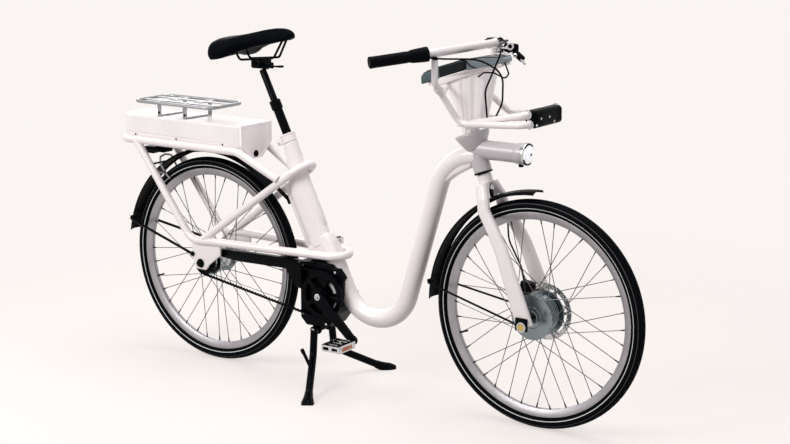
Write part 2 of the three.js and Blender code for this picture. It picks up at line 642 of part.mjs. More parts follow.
// A wire from one axle end, round behind the fender and back to the other axle end.
function fenderStay(foot, back) {
  const bend = Math.abs(back.y) * 0.6;
  const corners = [{ at: foot }, { at: back, bend }, { at: mirrored(back, -1), bend }, { at: mirrored(foot, -1) }];
  return tube(corners, wireRadius, 6, 3);
}
const onCircle = (axle, radius, angle, y = 0) => (
  axle.clone().add(v(radius * Math.cos(rad(angle)), y, radius * Math.sin(rad(angle)))));
// A flat bar between two points of the middle plane, as wide as the bracket.
function strap(from, to, width, thickness) {
  const middle = from.clone().add(to).multiplyScalar(0.5);
  const lean = Math.atan2(to.z - from.z, to.x - from.x);
  const bar = new THREE.BoxGeometry(from.distanceTo(to), width, thickness);
  return solidOf(bar.rotateY(-lean).translate(middle.x, middle.y, middle.z));
}
const rearFenderFrom = 48;
const rearFenderTo = 171;
const bracketWidth = 18;
const bracketSkin = 2.5;
const bracketDrop = 178;    // where the bracket meets the seat tube's fin, below the seat tube's top
const bracketTab = 14;
const bridgeAngle = 124.7;
function rearFender() {
  const skin = fender(rearAxle, fenderRadius, rearFenderFrom, rearFenderTo, 16);
  const wallGap = -finDepth - fit - bracketSkin / 2;
  const tab = strap(seatPoint(bracketDrop - bracketTab, wallGap), seatPoint(bracketDrop + bracketTab, wallGap),
    bracketWidth, bracketSkin);
  const tongue = strap(onCircle(rearAxle, fenderRadius - bracketSkin, rearFenderFrom + 4),
    seatPoint(bracketDrop, wallGap), bracketWidth, bracketSkin);
  const reach = 2 * (stayY - frameTubeRadius - fit);
  const low = onCircle(rearAxle, fenderRadius, bridgeAngle - 1);
  const high = onCircle(rearAxle, fenderRadius, bridgeAngle + 1);
  return joined(skin, tongue, tab, strap(low, high, reach, bracketSkin));
}
part('rear_fender', rearFender(), blackPlastic);
const rearStayBehind = 31;
const rearStayRise = 25;
const rearStayFoot = v(-rearStayBehind, -dropoutY - dropoutThickness - wireRadius - fit, tyreRadius + rearStayRise);
const stayBackGap = wireRadius;
const stayBack = (axle, radius, angle) => (
  onCircle(axle, radius + stayBackGap, angle, -fenderHalfWidth - stayBackGap));
const rearStayAngle = 164.5;
part('rear_fender_stay', fenderStay(rearStayFoot, stayBack(rearAxle, fenderRadius, rearStayAngle)), blackPaint);

// Belt drive: two toothed wheels, the belt, and a guard over its upper run.
const frontTeeth = 40;
const rearTeeth = 22;
const beltPitchRadius = 1.75;   // sprocket radius for each tooth
const toothDepth = 2.5;
const beltThickness = 3;
const beltGap = 0.5;
const frontSprocketRadius = frontTeeth * beltPitchRadius;
const rearSprocketRadius = rearTeeth * beltPitchRadius;
const beltOuterY = beltLineY + beltWidth / 2;
const beltInnerY = beltLineY - beltWidth / 2;
function toothed(axle, radius, teeth) {
  const toothShares = [[0, -1], [0.5, 0]];
  return Array.from({ length: teeth }, (_, i) => toothShares.map(([share, drop]) => {
    const spot = onCircle(axle, radius + drop * toothDepth, 360 * (i + share) / teeth);
    return [spot.x, spot.z];
  })).flat();
}
function beltLine(grow) {
  const span = crankAxle.clone().sub(rearAxle);
  const along = THREE.MathUtils.radToDeg(Math.atan2(span.z, span.x));
  const lean = THREE.MathUtils.radToDeg(Math.asin((frontSprocketRadius - rearSprocketRadius) / span.length()));
  const arc = (axle, radius, from, to, steps) => Array.from({ length: steps + 1 }, (_, k) => {
    const spot = onCircle(axle, radius + grow, from + (to - from) * k / steps);
    return [spot.x, spot.z];
  });
  return [...arc(rearAxle, rearSprocketRadius, along + 90 + lean, along + 270 - lean, 12),
    ...arc(crankAxle, frontSprocketRadius, along - 90 - lean, along + 90 + lean, 20)];
}
const beltSolid = plate(beltLine(beltGap + beltThickness), -beltOuterY, -beltInnerY)
  .subtract(plate(beltLine(beltGap), -beltOuterY - overrun, -beltInnerY + overrun));
part('drive_belt', beltSolid, rubber);
const sprocketBossRadius = 16;
const rearSprocketSolid = joined(
  plate(toothed(rearAxle, rearSprocketRadius, rearTeeth), -beltOuterY, -beltInnerY),
  rod(v(0, -dropoutY + running, tyreRadius), v(0, -beltInnerY, tyreRadius), sprocketBossRadius, 16))
  .subtract(rod(v(0, -dropoutY - overrun, tyreRadius), v(0, overrun, tyreRadius), axleRadius + running, 12));
part('rear_sprocket', rearSprocketSolid, blackPaint);

const guardOuterY = 62.4;
const guardInnerY = 59.4;
// Outlines that hold [ahead of, above] pairs from the crank axle.
const fromCrank = (outline) => outline.map(([ahead, above]) => [crankAxle.x + ahead, crankAxle.z + above]);
const guardOutline = fromCrank([[-384, 91], [-115, 98], [-30, 95], [-30, 92], [-87, 94], [-87, 8], [-128, 66],
  [-307, 62], [-384, 68]]);
const guardTop = fromCrank([[-384, 91], [-115, 98], [-30, 95], [-30, 92], [-115, 95], [-384, 88]]);
const guardTabOutline = fromCrank([[-384, 70], [-368, 70], [-368, 90], [-384, 90]]);
const housingHalfWidth = 44;
part('belt_guard', joined(plate(guardOutline, -guardOuterY, -guardInnerY),
  plate(guardTop, -guardOuterY, -housingHalfWidth - fit),
  plate(guardTabOutline, -dropoutY + fit, -guardOuterY + fit)), blackPlastic);

// Housing round the crank axle, with two hangers for the stand.
const housingOutline = fromCrank([[-87, -80], [-65, -102], [15, -97], [50, -50], [66, 8], [68, 46], [77, 60], [56, 85],
  [34, 85], [26, 94], [-87, 94]]);
const farCorner = fromCrank([[0, 180], [0, 100], [52, 5], [130, 5], [130, 180]]);
const tubeSlot = fromCrank([[-20, 160], [8, 108], [57, 9], [120, 9], [150, 65], [110, 160]]);
const crankAxleRadius = 12.5;
const pivotBehind = 38;     // stand pivot behind and below the crank axle
const pivotBelow = 114;
const pivot = v(crankAxle.x - pivotBehind, 0, crankAxle.z - pivotBelow);
const pivotRadius = 9;
const hangerRadius = 16;
const hangerY = [22, 31];
const hangerRise = 26;
const acrossPivot = (y) => pivot.clone().setY(y);
function housing() {
  const hangers = [-1, 1].flatMap((side) => {
    const [low, high] = side > 0 ? hangerY : [-hangerY[1], -hangerY[0]];
    const middle = v(pivot.x, (low + high) / 2, pivot.z + hangerRise / 2);
    return [rod(acrossPivot(low), acrossPivot(high), hangerRadius, 20),
      box(middle, v(2 * hangerRadius, high - low, hangerRise))];
  });
  const slot = mainTubeRadius + running;
  const whole = joined(plate(housingOutline, -housingHalfWidth, housingHalfWidth), ...hangers)
    .subtract(mainPath(mainTubeRadius + fit))
    .subtract(plate(tubeSlot, -slot, slot))
    .subtract(plate(farCorner, slot - fit, housingHalfWidth + overrun))
    .subtract(rod(crankAxle.clone().setY(-overrun * 4), crankAxle.clone().setY(overrun * 4),
      crankAxleRadius + running, 20))
    .subtract(rod(acrossPivot(-overrun * 4), acrossPivot(overrun * 4), pivotRadius + running, 20));
  return whole.decompose().sort((a, b) => b.volume() - a.volume())[0];
}
part('bb_housing', housing(), blackPlastic);

// Cranks and pedals.
const armBossRadius = 19;
const armEyeRadius = 14;
const armThickness = 13;
const armBossY = 71;
const armEyeY = 80;
const spiderY = 64;
const spiderArms = 5;
const spiderArmWidth = 16;
const ringWidth = 14;
const pedalCentreY = 150;
const pedalWidth = 80;
const pedalLength = 65;
const pedalHeight = 25;
const pedalAxleRadius = 6;
const crankPoint = (radius, angle, y) => onCircle(crankAxle, radius, angle).setY(y);
function crankArm(side, angle) {
  const along = crankPoint(1, angle, 0).sub(crankAxle.clone().setY(0));
  const across = v(-along.z, 0, along.x);
  const section = [[-1, -0.6], [-0.6, -1], [0.6, -1], [1, -0.6], [1, 0.6], [0.6, 1], [-0.6, 1], [-1, 0.6]];
  const station = (reach, y, half) => ({
    at: crankPoint(reach, angle, side * y), across: across.clone().multiplyScalar(half),
    up: leftward.clone().multiplyScalar(armThickness / 2),
  });
  const beam = sweep(section, [station(0, armBossY, armBossRadius * 0.9), station(crankLength / 2,
    (armBossY + armEyeY) / 2, armEyeRadius), station(crankLength, armEyeY, armEyeRadius * 0.85)]);
  const boss = rod(crankPoint(0, 0, side * (armBossY - armThickness / 2)),
    crankPoint(0, 0, side * (armBossY + armThickness / 2)), armBossRadius, 20);
  const eye = rod(crankPoint(crankLength, angle, side * (armEyeY - armThickness / 2)),
    crankPoint(crankLength, angle, side * (armEyeY + armThickness / 2)), armEyeRadius, 16);
  const pin = rod(crankPoint(crankLength, angle, side * armEyeY),
    crankPoint(crankLength, angle, side * (pedalCentreY + pedalWidth / 2 - 2 * fit)), pedalAxleRadius, 12);
  return joined(beam, boss, eye, pin);
}
const axleBore = rod(crankPoint(0, 0, -overrun * 6), crankPoint(0, 0, 0), crankAxleRadius + fit, 20);
function crankRight() {
  const ring = rod(crankPoint(0, 0, -beltOuterY), crankPoint(0, 0, -beltInnerY), frontSprocketRadius, 40)
    .subtract(rod(crankPoint(0, 0, -overrun * 6), crankPoint(0, 0, overrun), frontSprocketRadius - ringWidth, 30));
  const spiderInner = beltLineY;
  const pieces = [ring, rod(crankPoint(0, 0, -spiderInner), crankPoint(0, 0, -spiderY - armThickness / 2),
    armBossRadius * 1.3, 20)];
  for (let i = 0; i < spiderArms; i++) {
    const angle = crankAngle + 360 * (i + 0.5) / spiderArms;
    const reach = frontSprocketRadius - ringWidth / 2;
    const arm = strap(crankAxle, onCircle(crankAxle, reach, angle), beltOuterY - spiderInner, spiderArmWidth);
    pieces.push(arm.translate([0, -(beltOuterY + spiderInner) / 2, 0]));
  }
  return joined(...pieces, crankArm(-1, crankAngle)).subtract(axleBore);
}
part('crank_right', crankRight(), blackPaint);
const axleEnd = -armBossY - armThickness / 2;
part('crank_left', joined(crankArm(1, crankAngle + 180),
  rod(crankPoint(0, 0, axleEnd), crankPoint(0, 0, armBossY), crankAxleRadius, 20)), blackPaint);

const pedalCutShare = 0.3;
function pedal(side, angle) {
  const centre = crankPoint(crankLength, angle, side * pedalCentreY);
  const [halfLength, halfHeight] = [pedalLength / 2, pedalHeight / 2];
  const outlineShares = [[-1, -0.5], [-0.8, -1], [0.8, -1], [1, -0.5], [1, 0.5], [0.8, 1], [-0.8, 1], [-1, 0.5]];
  const outline = outlineShares.map(([x, z]) => [centre.x + halfLength * x, centre.z + halfHeight * z]);
  const body = plate(outline, centre.y - pedalWidth / 2, centre.y + pedalWidth / 2);
  const window = v(pedalLength * pedalCutShare, pedalWidth * 0.76, pedalHeight * 2);
  const cuts = [-1, 1].map((end) => box(centre.clone().add(v(end * halfLength * 0.5, 0, 0)), window));
  const reach = pedalCentreY + pedalWidth;
  const bore = rod(centre.clone().setY(-reach), centre.clone().setY(reach), pedalAxleRadius + running, 12);
  return body.subtract(joined(...cuts)).subtract(bore);
}
part('pedal_right', pedal(-1, crankAngle), blackPlastic);
part('pedal_left', pedal(1, crankAngle + 180), blackPlastic);

// Twin-leg stand: a cross shaft in the hangers, and two legs on flared feet. Each leg drops inside the crank arms
// to its knee and then splays, so that the cranks and pedals turn clear of it.
const legStartY = 43;
const kneeForward = 2;      // ahead of the pivot
const kneeY = 52;
const kneeHeight = 90;
const kneeBend = 30;
const footForward = 508;
const footY = 202;
const legRadius = 11;
const bossRadius = 12;
const flareRadius = 10.8;
const footRadius = 20;
const footLength = 45;
const shaftHalf = 48;
const tangRadius = 5;
const tangRootShare = 0.3;  // along the right leg from its knee
const tangReach = v(-25, -14, 62);
function centerStand() {
  const pieces = [rod(acrossPivot(-shaftHalf), acrossPivot(shaftHalf), pivotRadius, 20)];
  for (const side of [-1, 1]) {
    const top = acrossPivot(side * legStartY);
    const knee = v(pivot.x + kneeForward, side * kneeY, kneeHeight);
    const foot = v(footForward, side * footY, 0);
    const way = foot.clone().sub(knee).normalize();
    const end = foot.clone().addScaledVector(way, footLength / 2);
    const flare = foot.clone().addScaledVector(way, -footLength);
    pieces.push(tube([{ at: top }, { at: knee, bend: kneeBend }, { at: end }], legRadius, 10, 4));
    pieces.push(rod(flare, end, flareRadius, 10, footRadius));
    pieces.push(rod(acrossPivot(side * (legStartY - legRadius / 2)), acrossPivot(side * shaftHalf), bossRadius, 14));
    if (side < 0) {
      const tangRoot = knee.clone().lerp(foot, tangRootShare);
      pieces.push(rod(tangRoot, tangRoot.clone().add(tangReach), tangRadius, 8));
    }
  }
  const ground = box(v(footForward, 0, -footLength), v(footForward, footForward * 2, 2 * footLength));
  return joined(...pieces).subtract(ground);
}
part('center_stand', centerStand(), blackPaint);

// Seat post in two telescoping lengths, its clamp with the saddle rails, the saddle and the post's lever.
const lowerPostExposed = 107;
const lowerPostInserted = 130;
const postClampRadius = 17;
const postClampLength = 27;
const upperPostInserted = 120;
const upperPostTop = 212;   // above the seat tube's top, along the post
function lowerPost() {
  const top = seatPoint(-lowerPostExposed);
  const tubeWall = rod(seatPoint(lowerPostInserted), top, lowerPostRadius, 20);
  const clamp = rod(seatPoint(postClampLength - lowerPostExposed), top, postClampRadius, 20);
  const bore = rod(seatPoint(lowerPostInserted + overrun), seatPoint(-lowerPostExposed - overrun),
    upperPostRadius + fit, 16);
  return joined(tubeWall, clamp).subtract(bore);
}
part('seatpost_lower', lowerPost(), blackPaint);

const railRadius = 3.5;
const clampHead = { behind: 1.7, rise: 13.6, length: 34, width: 60, depth: 26 };
const postTop = seatPoint(-upperPostTop);
const clampAt = v(postTop.x - clampHead.behind, 0, postTop.z + clampHead.rise);
const clampPoint = (ahead, y, above) => v(clampAt.x + ahead, y, clampAt.z + above);
// Rail corners: ahead of the clamp, off the middle, above the clamp.
const railPath = [[-80, 24, 34], [-62, 24, 8], [58, 13, 20], [94, 9, 82]];
const railBend = 14;
function rail(side, grow) {
  const corners = railPath.map(([ahead, y, above], i) => {
    const end = i === 0 || i === railPath.length - 1;
    return { at: clampPoint(ahead, side * y, above + (end ? grow : 0)), bend: railBend };
  });
  return tube(corners, railRadius + grow, 6, 3);
}
const leverPivotAhead = 28;
const leverPivotBelow = 6;
const leverPivot = clampPoint(leverPivotAhead, 0, -leverPivotBelow);
const lugHalfGap = 9;
const lugThickness = 4;
const lugReach = 9;
const pinRadius = 3;
function upperPost() {
  const bottom = seatPoint(upperPostInserted - lowerPostExposed);
  const shaft = rod(bottom, seatPoint(-upperPostTop), upperPostRadius, 20);
  const head = box(clampAt, v(clampHead.length, clampHead.width, clampHead.depth));
  const rails = [-1, 1].map((side) => rail(side, 0));
  const lugs = [-1, 1].map((side) => {
    const y = side * (lugHalfGap + lugThickness / 2);
    const reach = leverPivotAhead + lugReach;
    return box(v(clampAt.x + reach / 2, y, leverPivot.z), v(reach, lugThickness, 2 * lugReach));
  });
  const pinHalf = lugHalfGap + lugThickness;
  const pin = rod(leverPivot.clone().setY(-pinHalf), leverPivot.clone().setY(pinHalf), pinRadius, 10);
  return joined(shaft, head, ...rails, ...lugs, pin);
}
part('seatpost_upper', upperPost(), blackPaint);

const leverLength = 52;
const leverThickness = 5;
const leverEyeRadius = 7;
function saddleLever() {
  const half = lugHalfGap - running;
  const eye = rod(leverPivot.clone().setY(-half), leverPivot.clone().setY(half), leverEyeRadius, 14);
  const blade = box(leverPivot.clone().add(v(leverLength / 2, 0, 0)), v(leverLength, 2 * half, leverThickness));
  const bore = rod(leverPivot.clone().setY(-overrun), leverPivot.clone().setY(overrun), pinRadius + running, 10);
  return joined(eye, blade).subtract(bore);
}
part('saddle_lever', saddleLever(), blackPlastic);

const saddleSection = [[0, 0.22], [-0.5, 0.16], [-0.9, 0], [-1, 0.3], [-0.96, 0.62], [-0.78, 0.86], [-0.42, 0.97],
  [0, 1], [0.42, 0.97], [0.78, 0.86], [0.96, 0.62], [1, 0.3], [0.9, 0], [0.5, 0.16]];
// Place ahead of the clamp, half width, then bottom and top above the clamp.
const saddleStations = [[-146, 66, 20, 50], [-142, 80, 10, 59], [-132, 89, 6, 65], [-112, 94, 8, 70],
  [-87, 94, 14, 73], [-62, 86, 26, 77], [-32, 68, 42, 83], [-2, 51, 53, 90], [28, 37, 59, 97],
  [58, 28, 64, 102], [88, 23, 67, 104], [108, 20, 69, 102], [120, 16, 72, 96], [126, 9, 76, 90]];
function saddle() {
  const stations = saddleStations.map(([x, half, low, high]) => ({
    at: clampPoint(x, 0, low),
    across: leftward.clone().multiplyScalar(half),
    up: upright.clone().multiplyScalar(high - low),
  }));
  return sweep(saddleSection, stations).subtract(rail(-1, fit)).subtract(rail(1, fit));
}
part('saddle', saddle().decompose().sort((a, b) => b.volume() - a.volume())[0], rubber);

// Steering: fork, bearing ring, cover, cowl, handlebar and the two tubes with their docking block.
// Each station: forward, off the middle, height, half length, half width. The last two are from the front axle.
const forkTop = [[978, 22, 668, 19, 17], [995, 44, 630, 18, 13], [1002, 52, 600, 18, 11], [1040, 60, 545, 19, 11],
  [1066, 64, 500, 20, 11]];
const forkEnd = [[-12, 71, 15, 24, 12], [1, 72, -20, 25, 13]];
const forkStations = [...forkTop, ...forkEnd.map(([ahead, y, above, ...section]) => (
  [frontAxle.x + ahead, y, frontAxle.z + above, ...section]))];
const legSection = [[-1, -0.45], [-0.6, -1], [0.6, -1], [1, -0.45], [1, 0.45], [0.6, 1], [-0.6, 1], [-1, 0.45]];
const coverBoreDepth = 44;
const forkLeg = (side, grow) => sweep(legSection, forkStations.map(([x, y, z, long, wide]) => ({
  at: v(x, side * y, z), across: headForward.clone().multiplyScalar(long + grow),
  up: leftward.clone().multiplyScalar(wide + grow),
})));
const crownDrop = 30;
const crownRadius = 20;
const forkLegY = 72;
const ringLength = 5;
function fork() {
  const bore = rod(frontAxle.clone().setY(-overrun * 5), frontAxle.clone().setY(overrun * 5), axleRadius + fit, 12);
  const steerer = rod(headPoint(-crownDrop), headPoint(headCoverRise + coverBoreDepth), steererRadius, 16);
  const crown = rod(headPoint(-crownDrop - crownRadius * 0.2), headPoint(-ringLength - fit * 2), crownRadius, 16);
  return joined(forkLeg(-1, 0), forkLeg(1, 0), crown, steerer).subtract(bore);
}
part('fork', fork(), whitePaint);
const ringHole = rod(headPoint(-overrun), headPoint(overrun), steererRadius + fit, 16);
part('headset_ring', rod(headPoint(-ringLength - fit), headPoint(-fit), headTubeRadius + 1, 24)
  .subtract(ringHole), blackPaint);

const coverProfile = [[0, 0], [headCover.footRadius, 0], [headCover.topRadius, headCover.height],
  [headCover.topRadius, headCover.height + headCover.flange], [0, headCover.height + headCover.flange]];
const coverBore = rod(headPoint(headTubeLength), headPoint(headCoverRise + coverBoreDepth + fit),
  steererRadius + fit, 16);
part('head_cover', turned(coverProfile, headPoint(headCoverRise + fit), headUp, 28).subtract(coverBore), whitePaint);

// Handlebar line. Each grip runs back, out and a little down from the bar's straight middle.
const barRadius = 11.5;
const barForward = 908;
const gripInnerBehind = 8;    // behind the bar's straight middle
const gripOuterBehind = 109;
const gripInnerY = 175;
const gripOuterY = 300;
const gripInnerHeight = 1030;
const gripOuterHeight = 1012;
const gripInner = v(barForward - gripInnerBehind, -gripInnerY, gripInnerHeight);
const gripOuter = v(barForward - gripOuterBehind, -gripOuterY, gripOuterHeight);
const barBend = 25;
const barCornerReach = 12.8;  // from each grip's inner end to the bar's corner
const gripWay = gripOuter.clone().sub(gripInner).normalize();
const gripPoint = (reach) => gripInner.clone().addScaledVector(gripWay, reach);
const gripLength = gripOuter.distanceTo(gripInner);
const shifterLength = 48;
const shifterRadius = 20;
const gripRadius = 16;
const endCap = 4;
const barCorner = gripPoint(-barCornerReach);
const barHeight = barCorner.z;
const barCorners = [gripPoint(gripLength - endCap), barCorner];
const barLine = [{ at: barCorners[0] }, { at: barCorners[1], bend: barBend },
  { at: mirrored(barCorners[1], -1), bend: barBend }, { at: mirrored(barCorners[0], -1) }];
// Outlines that hold [ahead of, above] pairs from the straight middle of the bar.
const fromBar = (outline) => outline.map(([ahead, above]) => [barForward + ahead, barHeight + above]);

const cowlSides = 20;
const cowlSquareness = 0.8;
const cowlFloor = headCoverRise + headCover.height + headCover.flange + 2 * fit;
const cowlNeckLength = 30;
const cowlNeckRadius = 24;
const cowlFoot = 822;
const cowlTop = barHeight - 62.4248;
// Forward place, share of the height, half length, half width and tilt in degrees of each cowl section.
const cowlStations = [[935, 0, 33, 33, 0], [935, 0.0816, 35, 35, 0], [936, 0.1361, 38, 36, 2],
  [933, 0.3265, 48, 40, 5], [930, 0.5646, 61, 45, 9], [926, 0.8027, 75, 49, 14], [925, 1, 82, 50, 17]];
const cowlPlateHeight = 12;
const cowlPlate = {
  centre: v(cowlStations[0][0], 0, cowlFoot + cowlPlateHeight / 2 + 1),
  size: v(44, 105, cowlPlateHeight),
};
function cowl() {
  const ring = Array.from({ length: cowlSides }, (_, i) => {
    const angle = 2 * Math.PI * i / cowlSides;
    const soft = (c) => Math.sign(c) * Math.abs(c) ** cowlSquareness;
    return [soft(Math.cos(angle)), soft(Math.sin(angle))];
  });
  const shell = sweep(ring, cowlStations.map(([x, share, half, wide, tilt]) => ({
    at: v(x, 0, cowlFoot + (cowlTop - cowlFoot) * share),
    across: v(Math.cos(rad(tilt)), 0, Math.sin(rad(tilt))).multiplyScalar(half),
    up: leftward.clone().multiplyScalar(wide),
  })));
  const neck = rod(headPoint(cowlFloor), headPoint(cowlFloor + cowlNeckLength), cowlNeckRadius, 20);
  return joined(shell, neck, box(cowlPlate.centre, cowlPlate.size));
}
const cowlSolid = cowl();

const displayOutline = fromBar([[-111, -83.4], [-48, -57.4], [50, -27.4], [136, -13.4], [136, -35.4],
  [52, -64.4], [-101, -119.4]]);
const displayHalfWidth = 58;
const displaySolid = plate(displayOutline, -displayHalfWidth, displayHalfWidth);
part('handlebar', tube(barLine, barRadius, 12, 5), whitePaint);
part('display', displaySolid, greyScreen);
// Everything from the display's underside up.
function displaySpace() {
  const [rearTop, , , frontTop, frontFoot, middleFoot, rearFoot] = displayOutline;
  const roof = frontTop[1] + displayHalfWidth;
  const under = [rearFoot, middleFoot, frontFoot].map(([x, z]) => [x, z - fit]);
  const around = [[frontFoot[0], roof], [rearTop[0] - overrun, roof], [rearTop[0] - overrun, rearTop[1]]];
  return plate([...under, ...around], -displayHalfWidth * 2, displayHalfWidth * 2);
}
part('cowl', cowlSolid.subtract(displaySpace()), whitePaint);

const gripBore = (from, to, side) => rod(mirrored(gripPoint(from), -side), mirrored(gripPoint(to), -side),
  barRadius + fit, 16);
const turnBore = rod(gripPoint(-overrun), gripPoint(shifterLength + overrun), barRadius + running, 16);
part('twist_shifter', rod(gripPoint(fit), gripPoint(shifterLength), shifterRadius, 20, gripRadius + 1)
  .subtract(turnBore), rubber);
const gripSolid = (side, from) => rod(mirrored(gripPoint(from), -side), mirrored(gripPoint(gripLength), -side),
  gripRadius, 20).subtract(gripBore(from - overrun, gripLength - endCap + fit, side));
part('grip_right', gripSolid(-1, shifterLength + running), rubber);
const leftGripStart = 8;
part('grip_left', gripSolid(1, leftGripStart), rubber);

const dockTubeRadius = 9;
const dockLowerTop = barHeight - 13.2248;
const dockLowerElbow = barHeight - 81.4248;
const dockUpperTop = barHeight - 93.4248;
const dockLowerCorners = [[905, -150, dockLowerTop, 0], [905, -150, dockLowerElbow, 22], [897, -100, 912, 25],
  [930, -62, 832, 35], [1153, -100, 852, 24]];
const dockUpperCorners = [[950, -42, 834, 0], [1148, -92, 878, 22], [1148, 92, 878, 22], [1000, 92, 848, 40],
  [897, 62, dockUpperTop, 0]];
const toCorner = ([x, y, z, bend]) => ({ at: v(x, y, z), bend });
const dockLowerLine = (() => {
  const right = dockLowerCorners.map(toCorner);
  const left = right.map(({ at, bend }) => ({ at: mirrored(at, -1), bend })).reverse();
  return [...right, ...left];
})();
const dockLower = (radius) => tube(dockLowerLine, radius, 8, 3);
const dockUpper = (radius) => tube(dockUpperCorners.map(toCorner), radius, 8, 3);
const handlebarSpace = tube(barLine, barRadius + fit, 12, 5);
const cowlSpace = box(cowlPlate.centre, cowlPlate.size.clone().addScalar(2 * fit));
part('docking_tube_lower', dockLower(dockTubeRadius).subtract(handlebarSpace), whitePaint);
part('docking_tube_upper', dockUpper(dockTubeRadius).subtract(dockLower(dockTubeRadius + fit)).subtract(cowlSpace)
  .decompose().sort((a, b) => b.volume() - a.volume())[0], whitePaint);
const dockBlockMargin = 9;   // round the tubes' front runs
const dockFront = dockLowerCorners[4];
const dockBlockMiddle = (dockFront[2] + dockUpperCorners[1][2]) / 2;
const dockBlock = {
  centre: v(dockFront[0], 0, dockBlockMiddle),
  size: v(2 * (dockTubeRadius + dockBlockMargin), 148, 48),
};
part('docking_block', box(dockBlock.centre, dockBlock.size).subtract(dockLower(dockTubeRadius + fit))
  .subtract(dockUpper(dockTubeRadius + fit)), blackPlastic);

// Front fender on the fork crown, with its stay.
const frontFenderGap = 25;
const frontFenderRadius = tyreRadius + frontFenderGap;
const frontFenderFrom = 91;
const frontFenderTo = 180;
const frontStayAngle = 172;
const crownBracketAngle = 116;
const crownFoot = v(980, 0, 669);
function frontFender() {
  const skin = fender(frontAxle, frontFenderRadius, frontFenderFrom, frontFenderTo, 14);
  const root = onCircle(frontAxle, frontFenderRadius - bracketSkin, crownBracketAngle);
  return joined(skin, strap(root, crownFoot, bracketWidth, bracketSkin))
    .subtract(rod(headPoint(-crownDrop * 2), headPoint(0), crownRadius + fit, 16))
    .subtract(forkLeg(-1, fit)).subtract(forkLeg(1, fit));
}
part('front_fender', frontFender().decompose().sort((a, b) => b.volume() - a.volume())[0], blackPlastic);
const frontStayBehind = 21;
const frontStayBelow = 16;
const frontStayFoot = v(frontAxle.x - frontStayBehind, -forkLegY, frontAxle.z - frontStayBelow);
part('front_fender_stay', fenderStay(frontStayFoot, stayBack(frontAxle, frontFenderRadius, frontStayAngle))
  .subtract(forkLeg(-1, fit)).subtract(forkLeg(1, fit)), blackPaint);

// Front axle with its torque plate.
const legOuterY = 86;
const torquePlate = { below: 26, above: 10, behind: 20, ahead: 18, thickness: 4 };
function frontAxleSolid() {
  const half = legOuterY + nutLength;
  const across = (y) => frontAxle.clone().setY(y);
  const pieces = [rod(across(-half), across(half), axleRadius, 12)];
  for (const side of [-1, 1]) {
    pieces.push(rod(across(side * legOuterY), across(side * half), nutRadius, 16));
  }
  const { below, above, behind, ahead, thickness } = torquePlate;
  const [low, high] = [frontAxle.z - below, frontAxle.z + above];
  const [rear, front] = [frontAxle.x - behind, frontAxle.x + ahead];
  pieces.push(plate([[rear, low], [front, low], [front, high], [rear, high]], -legOuterY - thickness, -legOuterY));
  return joined(...pieces);
}
part('front_axle', frontAxleSolid(), blackPaint);

// Disc brake: caliper behind the left fork leg, and its hose.
const caliperOutline = [[-87, 32], [-63, 25], [-29, 32], [-35, 72], [-77, 76]].map(([ahead, above]) => (
  [frontAxle.x + ahead, frontAxle.z + above]));
const caliperInnerY = 36;
const caliperOuterY = 61;
const rotorSlot = 1.2;      // each side of the rotor
const hoseRadius = 2.5;
const hoseLine = [[1012, 60, 548, 0], [1016, 60, 500, 60], [1060, 56, 430, 60], [1072, 56, 388, 0]];
function caliper() {
  const rotorMiddle = hubEndY + fit + rotorThickness / 2;
  const half = rotorThickness / 2 + rotorSlot;
  const slot = rod(frontAxle.clone().setY(rotorMiddle - half), frontAxle.clone().setY(rotorMiddle + half),
    rotorRadius + 2 * rotorSlot, 32);
  const hose = tube(hoseLine.map(toCorner), hoseRadius, 6, 3);
  return joined(plate(caliperOutline, caliperInnerY, caliperOuterY), hose).subtract(slot)
    .subtract(forkLeg(1, fit)).decompose().sort((a, b) => b.volume() - a.volume())[0];
}
part('brake_caliper', caliper(), blackPaint);

const shiftLine = [[barForward + 4, -182.2, barHeight - 10.4, 0], [930, -145, barHeight - 15.4, 60],
  [990, -65, barHeight - 19.4, 60], [1064, -64, 980, 45], [1062, -62, 900, 60], [1040, -64, 856, 0]];
const brakeLine = [[barForward + 6, 165, barHeight + 5.6, 0], [975, 110, barHeight + 14.6, 40],
  [1012, 0, barHeight + 14.6, 50], [1062, -72, barHeight + 2.6, 20], [1042, -73, 990, 60], [1014, -73, 930, 60],
  [1013, -58, 852, 0]];
const cableAway = (radius) => joined(dockUpper(dockTubeRadius + radius), tube(barLine, barRadius + radius, 12, 5));
part('shift_cable', tube(shiftLine.map(toCorner), hoseRadius, 6, 3).subtract(cableAway(fit)).decompose()
  .sort((a, b) => b.volume() - a.volume())[0], blackPlastic);

// Brake lever in its clamp on the left of the handlebar.
const clampY = [159.6, 170];
const lugY = [150, 174];
const clampRadius = 17;
const leverEyeAhead = 35;   // ahead of the bar
const leverEyeBelow = 19.4;
const leverEyeY = 165;
const leverEye = v(barForward + leverEyeAhead, leverEyeY, barHeight - leverEyeBelow);
const eyeRadius = 8;
const eyeHeight = 8;
